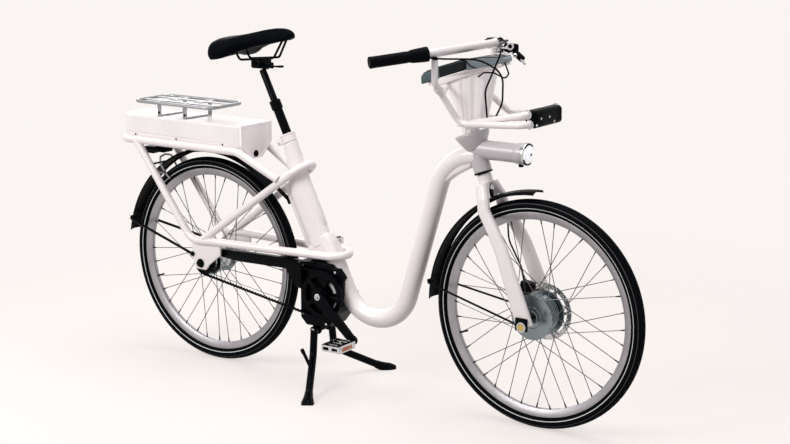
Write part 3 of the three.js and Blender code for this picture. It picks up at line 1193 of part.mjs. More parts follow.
// The blade's corners from its eye, with their bends.
const leverLine = [[0, 0, 0, 0], [-17, 35, 0, 40], [-65, 117, -18, 0]];
const bladeRadius = 4.5;
const rootShare = 0.7;      // how far the flattened root reaches towards the blade's first corner
const bladeShare = 0.6;     // where the round blade starts, inside the root
const lugThick = 4;
const postRear = barForward + 6.5;
const postFront = barForward + clampRadius;
const barBore = tube(barLine, barRadius + fit, 12, 5);
const pinTop = leverEye.z + eyeHeight / 2 + running + lugThick;
const pinFoot = leverEye.z - eyeHeight / 2 - running - lugThick;
function brakeClamp() {
  const [low, high] = clampY;
  const middleY = (lugY[0] + lugY[1]) / 2;
  const reachY = lugY[1] - lugY[0];
  const ring = rod(v(barForward, low, barHeight), v(barForward, high, barHeight), clampRadius, 20);
  const post = box(v((postRear + postFront) / 2, middleY, (pinTop + pinFoot) / 2),
    v(postFront - postRear, reachY, pinTop - pinFoot));
  const lugFront = leverEye.x + eyeRadius;
  const lugs = [pinTop - lugThick / 2, pinFoot + lugThick / 2].map((z) => (
    box(v((postRear + lugFront) / 2, middleY, z), v(lugFront - postRear, reachY, lugThick))));
  const pin = rod(leverEye.clone().setZ(pinFoot), leverEye.clone().setZ(pinTop), pinRadius, 10);
  return joined(ring, post, ...lugs, pin).subtract(barBore);
}
const brakeClampSolid = brakeClamp();
part('brake_clamp', brakeClampSolid, silver);
const clampSpace = rod(v(barForward, clampY[0] - fit, barHeight), v(barForward, clampY[1] + fit, barHeight),
  clampRadius + fit, 20);
part('brake_hose', tube(brakeLine.map(toCorner), hoseRadius, 6, 3).subtract(cableAway(fit)).subtract(clampSpace)
  .decompose().sort((a, b) => b.volume() - a.volume())[0], blackPlastic);
function brakeLever() {
  const [foot, top] = [leverEye.z - eyeHeight / 2, leverEye.z + eyeHeight / 2];
  const eye = rod(leverEye.clone().setZ(foot), leverEye.clone().setZ(top), eyeRadius, 16);
  const line = leverLine.map(([x, y, z, bend]) => ({ at: leverEye.clone().add(v(x, y, z)), bend }));
  const blade = tube(line, bladeRadius, 8, 4);
  const bore = rod(leverEye.clone().setZ(pinFoot), leverEye.clone().setZ(pinTop), pinRadius + running, 10);
  const slab = box(leverEye, v(8 * eyeRadius, 8 * eyeRadius, eyeHeight));
  const reach = leverEye.distanceTo(line[1].at);
  const near = (share) => rod(leverEye.clone().setZ(0), leverEye.clone().setZ(2 * leverEye.z), reach * share, 20);
  const root = blade.intersect(near(rootShare)).intersect(slab);
  return joined(eye, root, blade.subtract(near(bladeShare))).subtract(bore);
}
part('brake_lever', brakeLever(), silver);

// Centre the finished bicycle over the origin, its feet on the ground.
const whole = new THREE.Box3().setFromObject(bicycle);
const middle = whole.getCenter(v(0, 0, 0));
bicycle.position.set(-middle.x, -middle.y, -whole.min.z);

export default bicycle;
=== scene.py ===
# %% [markdown]
# # A step-through city bicycle on its stand
#
# The measured model of the bicycle comes in first and never moves: it says where every tube, wheel and
# lever is. Around it this scene models the pieces whose shape a coarse solid can't hold, such as round
# tubes, tyres, spokes and the saddle, and gives every surface its finish. Each new piece is tied to the
# body that it moves with.

# %% Load the measured frame
import math
import bpy
from mathutils import Matrix, Vector


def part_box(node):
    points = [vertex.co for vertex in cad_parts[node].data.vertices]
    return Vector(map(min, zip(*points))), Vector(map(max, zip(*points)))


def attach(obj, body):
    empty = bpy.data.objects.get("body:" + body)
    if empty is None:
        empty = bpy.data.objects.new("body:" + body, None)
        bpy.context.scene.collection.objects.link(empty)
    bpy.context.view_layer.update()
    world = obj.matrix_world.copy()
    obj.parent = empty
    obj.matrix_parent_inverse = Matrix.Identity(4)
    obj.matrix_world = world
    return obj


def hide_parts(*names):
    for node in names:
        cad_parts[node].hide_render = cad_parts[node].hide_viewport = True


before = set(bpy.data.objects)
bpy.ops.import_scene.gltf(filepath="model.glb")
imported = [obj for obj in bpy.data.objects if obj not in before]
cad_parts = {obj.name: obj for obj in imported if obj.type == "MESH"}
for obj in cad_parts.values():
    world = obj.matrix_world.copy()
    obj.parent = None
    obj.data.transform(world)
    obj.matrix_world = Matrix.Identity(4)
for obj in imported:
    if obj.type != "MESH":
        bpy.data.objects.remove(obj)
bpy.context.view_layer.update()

# %% [markdown]
# ## The camera
#
# The picture was taken from the front right, a little above the saddle, with a long lens. One camera stands
# there. Its place was found from the two wheels, whose true size is known, so no shift is needed to frame
# the bicycle.

# %% Camera
camera_data = bpy.data.cameras.new("studio_camera")
camera_data.lens = 73.66
camera_data.sensor_width = 36.0
camera = bpy.data.objects.new("studio_camera", camera_data)
camera.location = (2.67745, -3.7107, 1.5044)
target = Vector((0.1134, 0.0, 0.51938))
camera.rotation_euler = (target - camera.location).to_track_quat("-Z", "Y").to_euler()
bpy.context.collection.objects.link(camera)
scene = bpy.context.scene
scene.camera = camera
scene.view_settings.view_transform = "Standard"
print("camera", round((target - camera.location).length, 3), "m from the bicycle")

# %% [markdown]
# ## Light and ground
#
# White paint only shows its shape where light falls off round it, so a large soft lamp stands high on the
# left of the camera, a weaker one fills from behind, and the right side is left to fall into grey. The warm
# white of the backdrop is painted only for rays that come from the camera, a mirror or glass. It adds no
# light to the bicycle.

# %% Soft lamps
def soft_lamp(name, place, aim, size, watts, colour):
    data = bpy.data.lights.new(name, "AREA")
    data.shape = "RECTANGLE"
    data.size, data.size_y = size
    data.energy = watts
    data.color = colour
    lamp = bpy.data.objects.new(name, data)
    lamp.location = place
    lamp.rotation_euler = (Vector(aim) - Vector(place)).to_track_quat("-Z", "Y").to_euler()
    bpy.context.collection.objects.link(lamp)
    return lamp


middle = (0.0, 0.0, 0.55)
soft_lamp("key", (-1.6, -3.6, 2.9), middle, (2.4, 2.0), 140, (1.0, 0.985, 0.975))
soft_lamp("sky", (0.2, 0.3, 3.8), middle, (3.0, 2.4), 84, (1.0, 0.99, 0.985))
soft_lamp("fill", (-2.8, 2.6, 1.6), middle, (2.0, 2.0), 30, (1.0, 0.97, 0.97))
soft_lamp("edge", (4.2, -0.6, 1.2), middle, (1.2, 1.8), 16, (0.93, 0.96, 1.0))

# %% Backdrop, seen but not felt
BACKDROP = (0.956, 0.913, 0.888, 1.0)


def worked_out(tree, operation, *values):
    """A sum on numbers and sockets of the tree."""
    node = tree.nodes.new("ShaderNodeMath")
    node.operation = operation
    for socket, value in zip(node.inputs, values):
        if isinstance(value, float):
            socket.default_value = value
        else:
            tree.links.new(value, socket)
    return node.outputs[0]


def seen_rays(tree):
    """One where the ray comes from the camera, a mirror or glass, and nought elsewhere."""
    rays = tree.nodes.new("ShaderNodeLightPath").outputs
    bent = worked_out(tree, "MAXIMUM", rays["Is Glossy Ray"], rays["Is Transmission Ray"])
    return worked_out(tree, "MAXIMUM", rays["Is Camera Ray"], bent)


world = bpy.data.worlds.new("studio")
scene.world = world
world.use_nodes = True
sky = world.node_tree
sky.nodes.clear()
dim = sky.nodes.new("ShaderNodeBackground")
dim.inputs["Color"].default_value = (0.95, 0.93, 0.94, 1.0)
dim.inputs["Strength"].default_value = 0.42
bright = sky.nodes.new("ShaderNodeBackground")
bright.inputs["Color"].default_value = BACKDROP
choose_sky = sky.nodes.new("ShaderNodeMixShader")
sky_out = sky.nodes.new("ShaderNodeOutputWorld")
sky.links.new(seen_rays(sky), choose_sky.inputs["Fac"])
sky.links.new(dim.outputs[0], choose_sky.inputs[1])
sky.links.new(bright.outputs[0], choose_sky.inputs[2])
sky.links.new(choose_sky.outputs[0], sky_out.inputs["Surface"])
print("backdrop", [round(c, 3) for c in BACKDROP[:3]])

# %% Floor that keeps the shadow and fades into the backdrop
bpy.ops.object.select_all(action="DESELECT")
bpy.ops.mesh.primitive_circle_add(vertices=96, radius=6.0, fill_type="NGON", location=(0, 0, 0))
floor = bpy.context.object
floor.name = "studio_floor"
stone = bpy.data.materials.new("studio_floor")
stone.use_nodes = True
tree = stone.node_tree
tree.nodes.clear()
matt = tree.nodes.new("ShaderNodeBsdfDiffuse")
matt.inputs["Color"].default_value = (0.34, 0.32, 0.312, 1.0)
glow = tree.nodes.new("ShaderNodeEmission")
glow.inputs["Color"].default_value = BACKDROP
glow.inputs["Strength"].default_value = 0.61
lift = tree.nodes.new("ShaderNodeAddShader")
clear = tree.nodes.new("ShaderNodeBsdfTransparent")
place = tree.nodes.new("ShaderNodeTexCoord")
length = tree.nodes.new("ShaderNodeVectorMath")
length.operation = "LENGTH"
fade = tree.nodes.new("ShaderNodeMapRange")
fade.interpolation_type = "SMOOTHSTEP"
fade.inputs["From Min"].default_value = 0.9
fade.inputs["From Max"].default_value = 2.6
plain = tree.nodes.new("ShaderNodeMixShader")
show = tree.nodes.new("ShaderNodeMixShader")
out = tree.nodes.new("ShaderNodeOutputMaterial")
tree.links.new(matt.outputs[0], lift.inputs[0])
tree.links.new(glow.outputs[0], lift.inputs[1])
tree.links.new(seen_rays(tree), plain.inputs["Fac"])
tree.links.new(matt.outputs[0], plain.inputs[1])
tree.links.new(lift.outputs[0], plain.inputs[2])
tree.links.new(place.outputs["Object"], length.inputs[0])
tree.links.new(length.outputs["Value"], fade.inputs["Value"])
tree.links.new(fade.outputs["Result"], show.inputs["Fac"])
tree.links.new(plain.outputs[0], show.inputs[1])
tree.links.new(clear.outputs[0], show.inputs[2])
tree.links.new(show.outputs[0], out.inputs["Surface"])
floor.data.materials.append(stone)
print("floor", tuple(round(d, 2) for d in floor.dimensions))

# %% [markdown]
# ## Finishes
#
# A finish is more than its colour. Enamel has a faint mottle and a wavy gloss, moulded plastic a fine
# grain, rubber a dull bloom, metal the streaks of its polishing. Each is made here once from noise on the
# piece's own coordinates, so that the pattern stays on the metal when the camera or the bicycle moves. The
# slots are the record's own.

# %% A bench for finishes
FINISHES = {}


def start_finish(name, colour, rough, metal=0.0, specular=0.5):
    finish = bpy.data.materials.new(name)
    finish.use_nodes = True
    tree = finish.node_tree
    shader = tree.nodes["Principled BSDF"]
    shader.inputs["Base Color"].default_value = (*colour, 1.0)
    shader.inputs["Roughness"].default_value = rough
    shader.inputs["Metallic"].default_value = metal
    shader.inputs["Specular IOR Level"].default_value = specular
    FINISHES[name] = finish
    return finish, tree, shader


def own_place(tree, stretch=(1, 1, 1), move=(0, 0, 0)):
    place = tree.nodes.new("ShaderNodeTexCoord")
    mapping = tree.nodes.new("ShaderNodeMapping")
    mapping.inputs["Scale"].default_value = stretch
    mapping.inputs["Location"].default_value = move
    tree.links.new(place.outputs["Object"], mapping.inputs["Vector"])
    return mapping.outputs["Vector"]


def noise(tree, vector, scale, detail=3.0, rough=0.55):
    node = tree.nodes.new("ShaderNodeTexNoise")
    node.inputs["Scale"].default_value = scale
    node.inputs["Detail"].default_value = detail
    node.inputs["Roughness"].default_value = rough
    tree.links.new(vector, node.inputs["Vector"])
    return node.outputs["Fac"]


def spread(tree, value, low, high):
    """Noise stays near its middle, so its middle half is stretched to reach from low to high."""
    node = tree.nodes.new("ShaderNodeMapRange")
    node.inputs["From Min"].default_value = 0.3
    node.inputs["From Max"].default_value = 0.7
    node.inputs["To Min"].default_value = low
    node.inputs["To Max"].default_value = high
    tree.links.new(value, node.inputs["Value"])
    return node.outputs["Result"]


def two_tone(tree, value, dark, light):
    ramp = tree.nodes.new("ShaderNodeValToRGB")
    ramp.color_ramp.elements[0].position = 0.35
    ramp.color_ramp.elements[1].position = 0.65
    ramp.color_ramp.elements[0].color = (*dark, 1.0)
    ramp.color_ramp.elements[1].color = (*light, 1.0)
    tree.links.new(value, ramp.inputs["Fac"])
    return ramp.outputs["Color"]


def relief(tree, shader, value, depth, strength=1.0):
    bump = tree.nodes.new("ShaderNodeBump")
    bump.inputs["Distance"].default_value = depth
    bump.inputs["Strength"].default_value = strength
    tree.links.new(value, bump.inputs["Height"])
    tree.links.new(bump.outputs["Normal"], shader.inputs["Normal"])


def scaled(colour, share):
    return tuple(min(1.0, c * share) for c in colour)


# %% White enamel and the white moulding of the battery box
def enamel(name, colour, rough, coat):
    finish, tree, shader = start_finish(name, colour, rough)
    shader.inputs["Coat Weight"].default_value = coat
    shader.inputs["Coat Roughness"].default_value = 0.12
    where = own_place(tree)
    tone = two_tone(tree, noise(tree, where, 7.0), scaled(colour, 0.965), colour)
    tree.links.new(tone, shader.inputs["Base Color"])
    tree.links.new(spread(tree, noise(tree, where, 55.0), rough - 0.05, rough + 0.06),
                   shader.inputs["Roughness"])
    relief(tree, shader, noise(tree, where, 420.0, 2.0), 0.00006)
    return finish


WHITE = (0.86, 0.80, 0.805)
enamel("white_paint", WHITE, 0.30, 0.35)
# A grey copy of the white paint, used as painted shade on the head tube, head cover and lamp tube, which face
# away from the key lamp. It also colours the pale patches behind the chainring.
enamel("painted_shade_white", (0.52, 0.49, 0.505), 0.34, 0.25)
enamel("black_metal", (0.0008, 0.0013, 0.0022), 0.30, 0.02)
FINISHES["black_metal"].node_tree.nodes["Principled BSDF"].inputs["Specular IOR Level"].default_value = 0.035


def moulding(name, colour, rough, grain, depth, specular=0.4):
    finish, tree, shader = start_finish(name, colour, rough, specular=specular)
    where = own_place(tree)
    tone = two_tone(tree, noise(tree, where, 11.0), scaled(colour, 0.93), colour)
    tree.links.new(tone, shader.inputs["Base Color"])
    tree.links.new(spread(tree, noise(tree, where, 90.0), rough - 0.06, rough + 0.07),
                   shader.inputs["Roughness"])
    relief(tree, shader, noise(tree, where, grain, 1.0), depth)
    return finish


moulding("box_shell", (0.87, 0.825, 0.82), 0.38, 900.0, 0.00005, 0.45)
moulding("shade_panel", (0.90, 0.82, 0.835), 0.55, 1100.0, 0.00008)
moulding("black_plastic", (0.0010, 0.0014, 0.0024), 0.36, 1300.0, 0.00005, 0.03)
moulding("grip_rubber", (0.0008, 0.0012, 0.0022), 0.55, 700.0, 0.0001, 0.04)
moulding("belt_rubber", (0.0010, 0.0016, 0.0036), 0.5, 800.0, 0.00006, 0.06)
moulding("screen_grey", (0.22, 0.26, 0.285), 0.26, 1200.0, 0.00003)
moulding("screen_edge", (0.055, 0.085, 0.095), 0.26, 1200.0, 0.00003)
# Painted light: a faint glow lifts the battery's end plate out of shade.
shader = FINISHES["shade_panel"].node_tree.nodes["Principled BSDF"]
shader.inputs["Emission Color"].default_value = (1.0, 0.93, 0.94, 1.0)
shader.inputs["Emission Strength"].default_value = 0.13
print("paints and mouldings", sorted(FINISHES))

# %% Metals, brushed or turned
def metal(name, colour, rough, streak=(1, 1, 1), scale=120.0, depth=0.00003):
    finish, tree, shader = start_finish(name, colour, rough, metal=1.0)
    where = own_place(tree, streak)
    tone = two_tone(tree, noise(tree, where, scale / 6), scaled(colour, 0.86), colour)
    tree.links.new(tone, shader.inputs["Base Color"])
    tree.links.new(spread(tree, noise(tree, where, scale), rough - 0.08, rough + 0.1),
                   shader.inputs["Roughness"])
    relief(tree, shader, noise(tree, where, scale * 3), depth)
    return finish


metal("silver_metal", (0.62, 0.63, 0.64), 0.30, (1, 6, 1))
metal("rim_metal", (0.335, 0.325, 0.345), 0.40, (1, 5, 1))
metal("motor_metal", (0.22, 0.26, 0.275), 0.22, (1, 6, 1), 60.0, 0.00001)
metal("rack_metal", (0.34, 0.35, 0.365), 0.36, (1, 1, 4))
metal("bright_steel", (0.55, 0.56, 0.57), 0.24, (1, 4, 1))
metal("spoke_steel", (0.11, 0.105, 0.105), 0.35, (1, 4, 1))
metal("brass_cap", (0.62, 0.46, 0.14), 0.28, (1, 6, 1))
print("metals added", len(FINISHES), "finishes")

# %% [markdown]
# The tyre's finish carries the thin light rings moulded into its wall. They are told by the distance from
# the axle, measured across the wheel, so they are true circles however the tyre is meshed. Each wheel needs
# its own centre.

# %% Tyre rubber with its light ring
def millimetres(x, y, z):
    """From the drawing's frame, X from the rear axle in millimetres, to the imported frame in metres."""
    return Vector(((x - 560.6545) / 1000, y / 1000, z / 1000))


REAR_AXLE = millimetres(0, 0, 320)
FRONT_AXLE = millimetres(1147, 0, 320)
INNER_RING, OUTER_RING = 0.2958, 0.3095


def tyre_rubber(name, axle):
    finish, tree, shader = start_finish(name, (0.0010, 0.0014, 0.0024), 0.55, specular=0.03)
    where = own_place(tree, move=(-axle.x, 0, -axle.z))
    flat = tree.nodes.new("ShaderNodeVectorMath")
    flat.operation = "MULTIPLY"
    flat.inputs[1].default_value = (1, 0, 1)
    tree.links.new(where, flat.inputs[0])
    size = tree.nodes.new("ShaderNodeVectorMath")
    size.operation = "LENGTH"
    tree.links.new(flat.outputs[0], size.inputs[0])
    rings = []
    for radius, half, light in ((INNER_RING, 0.00075, 1.0), (OUTER_RING, 0.0004, 0.16)):
        away = worked_out(tree, "ABSOLUTE", worked_out(tree, "SUBTRACT", size.outputs["Value"], radius))
        band = tree.nodes.new("ShaderNodeMapRange")
        band.inputs["From Min"].default_value = half
        band.inputs["From Max"].default_value = half * 1.5
        band.inputs["To Min"].default_value = light
        band.inputs["To Max"].default_value = 0.0
        tree.links.new(away, band.inputs["Value"])
        rings.append(band.outputs["Result"])
    bloom = two_tone(tree, noise(tree, where, 30.0), (0.0008, 0.0011, 0.0020), (0.0016, 0.0020, 0.0030))
    mix = tree.nodes.new("ShaderNodeMix")
    mix.data_type = "RGBA"
    mix.inputs["B"].default_value = (0.72, 0.74, 0.75, 1.0)
    tree.links.new(worked_out(tree, "MAXIMUM", *rings), mix.inputs["Factor"])
    tree.links.new(bloom, mix.inputs["A"])
    tree.links.new(mix.outputs["Result"], shader.inputs["Base Color"])
    relief(tree, shader, noise(tree, where, 600.0), 0.00012)
    return finish


tyre_rubber("tyre_rubber_front", FRONT_AXLE)
tyre_rubber("tyre_rubber_rear", REAR_AXLE)
print("tyre rings", INNER_RING, "and", OUTER_RING, "m from each axle")

# %% [markdown]
# The cowl has soft flutes down its sides. They are shallow, so they are pressed into the finish and not the
# mesh: a wave of the angle round the cowl's middle line drives the bump, and the paint over it is the
# frame's own. A faint glow is added to it as painted light, which lifts the cowl out of the display's shade.

# %% Cowl paint
FLUTES = 9.0
_, tree, shader = start_finish("cowl_paint_painted_glow", WHITE, 0.30)
shader.inputs["Coat Weight"].default_value = 0.35
shader.inputs["Coat Roughness"].default_value = 0.12
centre = millimetres(930, 0, 0)
where = own_place(tree, move=(-centre.x, 0, 0))
apart = tree.nodes.new("ShaderNodeSeparateXYZ")
tree.links.new(where, apart.inputs["Vector"])
turn = worked_out(tree, "ARCTAN2", apart.outputs["Y"], apart.outputs["X"])
wave = worked_out(tree, "SINE", worked_out(tree, "MULTIPLY", turn, FLUTES))
relief(tree, shader, wave, 0.0030)
tone = two_tone(tree, noise(tree, own_place(tree), 7.0), (0.83, 0.772, 0.777), WHITE)
tree.links.new(tone, shader.inputs["Base Color"])
tree.links.new(spread(tree, noise(tree, own_place(tree), 55.0), 0.25, 0.36), shader.inputs["Roughness"])
# Painted light: a faint glow lifts the cowl, which sits in the display's shade.
shader.inputs["Emission Color"].default_value = (1.0, 0.95, 0.955, 1.0)
shader.inputs["Emission Strength"].default_value = 0.16
print("cowl paint with nine flutes")

# %% Saddle skin, glass, reflectors
skin, tree, shader = start_finish("saddle_skin", (0.0010, 0.0014, 0.0026), 0.5, specular=0.02)
where = own_place(tree)
pores = tree.nodes.new("ShaderNodeTexVoronoi")
pores.inputs["Scale"].default_value = 620.0
tree.links.new(where, pores.inputs["Vector"])
relief(tree, shader, pores.outputs["Distance"], 0.00022, 0.7)
tree.links.new(spread(tree, noise(tree, where, 26.0), 0.48, 0.62), shader.inputs["Roughness"])
tone = two_tone(tree, noise(tree, where, 14.0), (0.0008, 0.0011, 0.0020), (0.0016, 0.0021, 0.0034))
tree.links.new(tone, shader.inputs["Base Color"])

glass, tree, shader = start_finish("lamp_glass", (0.93, 0.95, 0.97), 0.06)
shader.inputs["Transmission Weight"].default_value = 0.15
# Painted light: a faint glow brightens the lens and the lamp's outer glass, which the lamps leave in shade.
shader.inputs["Emission Color"].default_value = (1.0, 0.98, 1.0, 1.0)
shader.inputs["Emission Strength"].default_value = 0.32
relief(tree, shader, noise(tree, own_place(tree), 160.0), 0.0002)

_, tree, shader = start_finish("screen_gloss", (0.002, 0.005, 0.007), 0.12, specular=0.16)
relief(tree, shader, noise(tree, own_place(tree), 40.0), 0.00004)
shader.inputs["Coat Weight"].default_value = 0.05


def reflector(name, colour):
    finish, tree, shader = start_finish(name, colour, 0.2)
    cells = tree.nodes.new("ShaderNodeTexVoronoi")
    cells.inputs["Scale"].default_value = 330.0
    tree.links.new(own_place(tree), cells.inputs["Vector"])
    relief(tree, shader, cells.outputs["Distance"], 0.0006)
    tone = two_tone(tree, cells.outputs["Distance"], scaled(colour, 0.55), scaled(colour, 1.25))
    tree.links.new(tone, shader.inputs["Base Color"])


reflector("orange_reflector", (0.62, 0.16, 0.03))
reflector("red_reflector", (0.36, 0.012, 0.012))
reflector("clear_reflector", (0.72, 0.73, 0.74))
print("finishes ready:", len(FINISHES))

# %% [markdown]
# ## The bench
#
# Every piece is made the same way. A primitive or a line is put down where the drawing says, shaped in edit
# mode, and handed over with its finish, its body and the measured node that it stands for. The helpers
# below are the hand tools for that. Each one lays everything else down first, because an operator works on
# all that is selected.

# %% Picking up and putting down
at = millimetres
SEAT_LEAN = math.radians(26.1)
HEAD_LEAN = math.radians(20)
SEAT_UP = Vector((-math.sin(SEAT_LEAN), 0, math.cos(SEAT_LEAN)))
HEAD_UP = Vector((-math.sin(HEAD_LEAN), 0, math.cos(HEAD_LEAN)))
LEFT = Vector((0, 1, 0))


def seat_point(down, ahead=0):
    forward = Vector((math.cos(SEAT_LEAN), 0, math.sin(SEAT_LEAN)))
    return at(287, 0, 738) - SEAT_UP * down / 1000 + forward * ahead / 1000


def head_point(rise):
    return at(967.2, 0, 697) + HEAD_UP * rise / 1000


def deselect():
    if bpy.context.object and bpy.context.object.mode != "OBJECT":
        bpy.ops.object.mode_set(mode="OBJECT")
    bpy.ops.object.select_all(action="DESELECT")


def take(obj):
    deselect()
    obj.select_set(True)
    bpy.context.view_layer.objects.active = obj
    return obj


def open_mesh(obj, mode="FACE"):
    take(obj)
    bpy.ops.object.mode_set(mode="EDIT")
    bpy.ops.mesh.select_mode(type=mode)
    bpy.ops.mesh.select_all(action="DESELECT")


def close_mesh():
    bpy.ops.object.mode_set(mode="OBJECT")


def choose(obj, test):
    """Select the faces whose middle and normal pass the test."""
    open_mesh(obj)
    bpy.ops.object.mode_set(mode="OBJECT")
    count = 0
    for face in obj.data.polygons:
        face.select = bool(test(face.center, face.normal))
        count += face.select
    bpy.ops.object.mode_set(mode="EDIT")
    return count


def tidy_mesh(obj, reach=0.000002):
    open_mesh(obj)
    bpy.ops.mesh.select_all(action="SELECT")
    bpy.ops.mesh.remove_doubles(threshold=reach)
    bpy.ops.mesh.normals_make_consistent(inside=False)
    close_mesh()
    return obj


def smooth(obj, angle=38):
    take(obj)
    bpy.ops.object.shade_smooth_by_angle(angle=math.radians(angle))
    return obj


def round_edges(obj, width, segments=3, angle=30):
    take(obj)
    bevel = obj.modifiers.new("rounding", "BEVEL")
    bevel.width = width / 1000
    bevel.segments = segments
    bevel.limit_method = "ANGLE"
    bevel.angle_limit = math.radians(angle)
    bpy.ops.object.modifier_apply(modifier="rounding")
    return smooth(obj)


def weld(*pieces):
    """Several parts of one casting become one object."""
    deselect()
    for piece in pieces:
        piece.select_set(True)
    bpy.context.view_layer.objects.active = pieces[0]
    bpy.ops.object.join()
    return bpy.context.object


def twin(obj, name):
    """A second one with its own mesh."""
    other = bpy.data.objects.new(name, obj.data.copy())
    bpy.context.collection.objects.link(other)
    return other


def hand_over(obj, name, body, slot, finish=None, *nodes):
    """The finish is the slot's own unless another is named. Nodes are the measured ones it stands for."""
    take(obj)
    bpy.ops.object.transform_apply(location=True, rotation=True, scale=True)
    obj.name = name
    obj.data.name = name
    obj.data.materials.clear()
    obj.data.materials.append(FINISHES[finish or slot])
    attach(obj, body)
    if nodes:
        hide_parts(*nodes)
    return obj


# %% Tubes along a bent line
def bent_line(corners, steps=10):
    """Corners are (x, y, z, bend radius) in the drawing's millimetres. The two ends have no bend."""
    spots = [at(*corner[:3]) for corner in corners]
    line = [spots[0]]
    for i in range(1, len(spots) - 1):
        into = (spots[i] - spots[i - 1]).normalized()
        out = (spots[i + 1] - spots[i]).normalized()
        turn = into.angle(out)
        bend = corners[i][3] / 1000
        if turn < 0.001 or bend == 0:
            line.append(spots[i])
            continue
        start = spots[i] - into * bend * math.tan(turn / 2)
        inward = (out - into * out.dot(into)).normalized()
        centre = start + inward * bend
        for k in range(steps + 1):
            angle = turn * k / steps
            line.append(centre - inward * bend * math.cos(angle) + into * bend * math.sin(angle))
    line.append(spots[-1])
    return line


def both_sides(corners):
    """The line goes on to the other side of the bicycle and back to its mirrored start."""
    return corners + [(x, -y, z, bend) for x, y, z, bend in reversed(corners)]


def round_tube(name, line, radius, sides=24, shares=None, ring=False):
    deselect()
    curve = bpy.data.curves.new(name, "CURVE")
    curve.dimensions = "3D"
    curve.bevel_depth = radius / 1000
    curve.bevel_resolution = (sides - 4) // 2
    curve.use_fill_caps = not ring
    spline = curve.splines.new("POLY")
    spline.points.add(len(line) - 1)
    spline.use_cyclic_u = ring
    for i, spot in enumerate(line):
        spline.points[i].co = (*spot, 1)
        if shares:
            spline.points[i].radius = shares[i]
    obj = bpy.data.objects.new(name, curve)
    bpy.context.collection.objects.link(obj)
    take(obj)
    bpy.ops.object.convert(target="MESH")
    return smooth(tidy_mesh(bpy.context.object))


# %% Turned work and flat plates
def traced(name, spots, loop):
    """One vertex is drawn along the spots, as a pencil would be."""
    deselect()
    bpy.ops.mesh.primitive_plane_add(size=0.01, location=(0, 0, 0))
    obj = bpy.context.object
    obj.name = name
    open_mesh(obj, "VERT")
    bpy.ops.mesh.select_all(action="SELECT")
    bpy.ops.mesh.merge(type="CENTER")
    bpy.ops.mesh.select_all(action="SELECT")
    bpy.ops.transform.translate(value=spots[0])
    ends = spots[1:] + (spots[:1] if loop else [])
    before = spots[0]
    for spot in ends:
        bpy.ops.mesh.extrude_vertices_move(TRANSFORM_OT_translate={"value": spot - before})
        before = spot
    bpy.ops.mesh.select_all(action="SELECT")
    if loop:
        bpy.ops.mesh.remove_doubles(threshold=0.000001)
    return obj


def stand_on(obj, base, way):
    """What was made upright round the origin is put on its base, its own up turned to the way."""
    turn = Vector((0, 0, 1)).rotation_difference(Vector(way).normalized())
    obj.data.transform(Matrix.Translation(base) @ turn.to_matrix().to_4x4())
    return obj


def turned(name, profile, base, way, steps=64, loop=False, angle=38):
    """Profile: (radius, height) in millimetres, standing on base and pointing along way."""
    spots = [Vector((radius / 1000, 0, height / 1000)) for radius, height in profile]
    obj = traced(name, spots, loop)
    bpy.ops.mesh.spin(steps=steps, angle=2 * math.pi, center=(0, 0, 0), axis=(0, 0, 1))
    close_mesh()
    tidy_mesh(obj)
    stand_on(obj, base, way)
    return smooth(tidy_mesh(obj), angle)


def plate(name, outline, low, high, rounding=0, segments=3):
    """Outline: (x, z) in the drawing's millimetres. The plate reaches from low to high across the bicycle."""
    spots = [at(x, low, z) for x, z in outline]
    obj = traced(name, spots, True)
    bpy.ops.mesh.edge_face_add()
    bpy.ops.mesh.extrude_region_move(TRANSFORM_OT_translate={"value": (0, (high - low) / 1000, 0)})
    close_mesh()
    tidy_mesh(obj)
    return round_edges(obj, rounding, segments) if rounding else smooth(obj)


def slab(name, centre, size, rounding=1.0, segments=2, lean=0.0):
    """A block with broken edges. Lean tips its front end up, in degrees."""
    deselect()
    bpy.ops.mesh.primitive_cube_add(size=1, location=(0, 0, 0))
    obj = bpy.context.object
    obj.name = name
    obj.data.transform(Matrix.Diagonal((size[0] / 1000, size[1] / 1000, size[2] / 1000, 1)))
    round_edges(obj, rounding, segments)
    obj.data.transform(Matrix.Translation(centre) @ Matrix.Rotation(-math.radians(lean), 4, "Y"))
    return obj


def strap(name, start, end, width, thickness, rounding=0.8):
    """A flat bar between two points of the middle plane."""
    span = end - start
    lean = math.degrees(math.atan2(span.z, span.x))
    return slab(name, (start + end) / 2, (span.length * 1000, width, thickness), rounding, 2, lean)


def cut_away(obj, cutter):
    take(obj)
    cut = obj.modifiers.new("cut", "BOOLEAN")
    cut.operation = "DIFFERENCE"
    cut.solver = "EXACT"
    cut.object = cutter
    bpy.ops.object.modifier_apply(modifier="cut")
    bpy.data.objects.remove(cutter, do_unlink=True)
    return smooth(obj)


# %% Castings taken from the measured solids
def copy_of(node):
    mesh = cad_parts[node].data.copy()
    obj = bpy.data.objects.new(node + "_casting", mesh)
    bpy.context.collection.objects.link(obj)
    take(obj)
    bpy.ops.mesh.customdata_custom_splitnormals_clear()
    tidy_mesh(obj, 0.00001)
    open_mesh(obj)
    bpy.ops.mesh.select_all(action="SELECT")
    bpy.ops.mesh.dissolve_limited(angle_limit=math.radians(0.5))
    close_mesh()
    return smooth(obj)


def soft_casting(node, voxel, passes):
    """The solid is skinned with small even faces and then rubbed down, which rounds every edge alike."""
    return rub_down(copy_of(node), voxel, passes)


def rub_down(obj, voxel, passes, strength=0.5):
    take(obj)
    skin = obj.modifiers.new("skin", "REMESH")
    skin.mode = "VOXEL"
    skin.voxel_size = voxel / 1000
    bpy.ops.object.modifier_apply(modifier="skin")
    rub = obj.modifiers.new("rub", "SMOOTH")
    rub.factor = strength
    rub.iterations = passes
    bpy.ops.object.modifier_apply(modifier="rub")
    return smooth(obj, 60)


print("bench ready")

# %% [markdown]
# ## The frame
#
# The frame is round steel tube bent on a former. A tube could be a cylinder cut and turned at each bend,
# but a line with round bends and a round section gives the true bend radius. The lines are the drawing's
# own corner points.

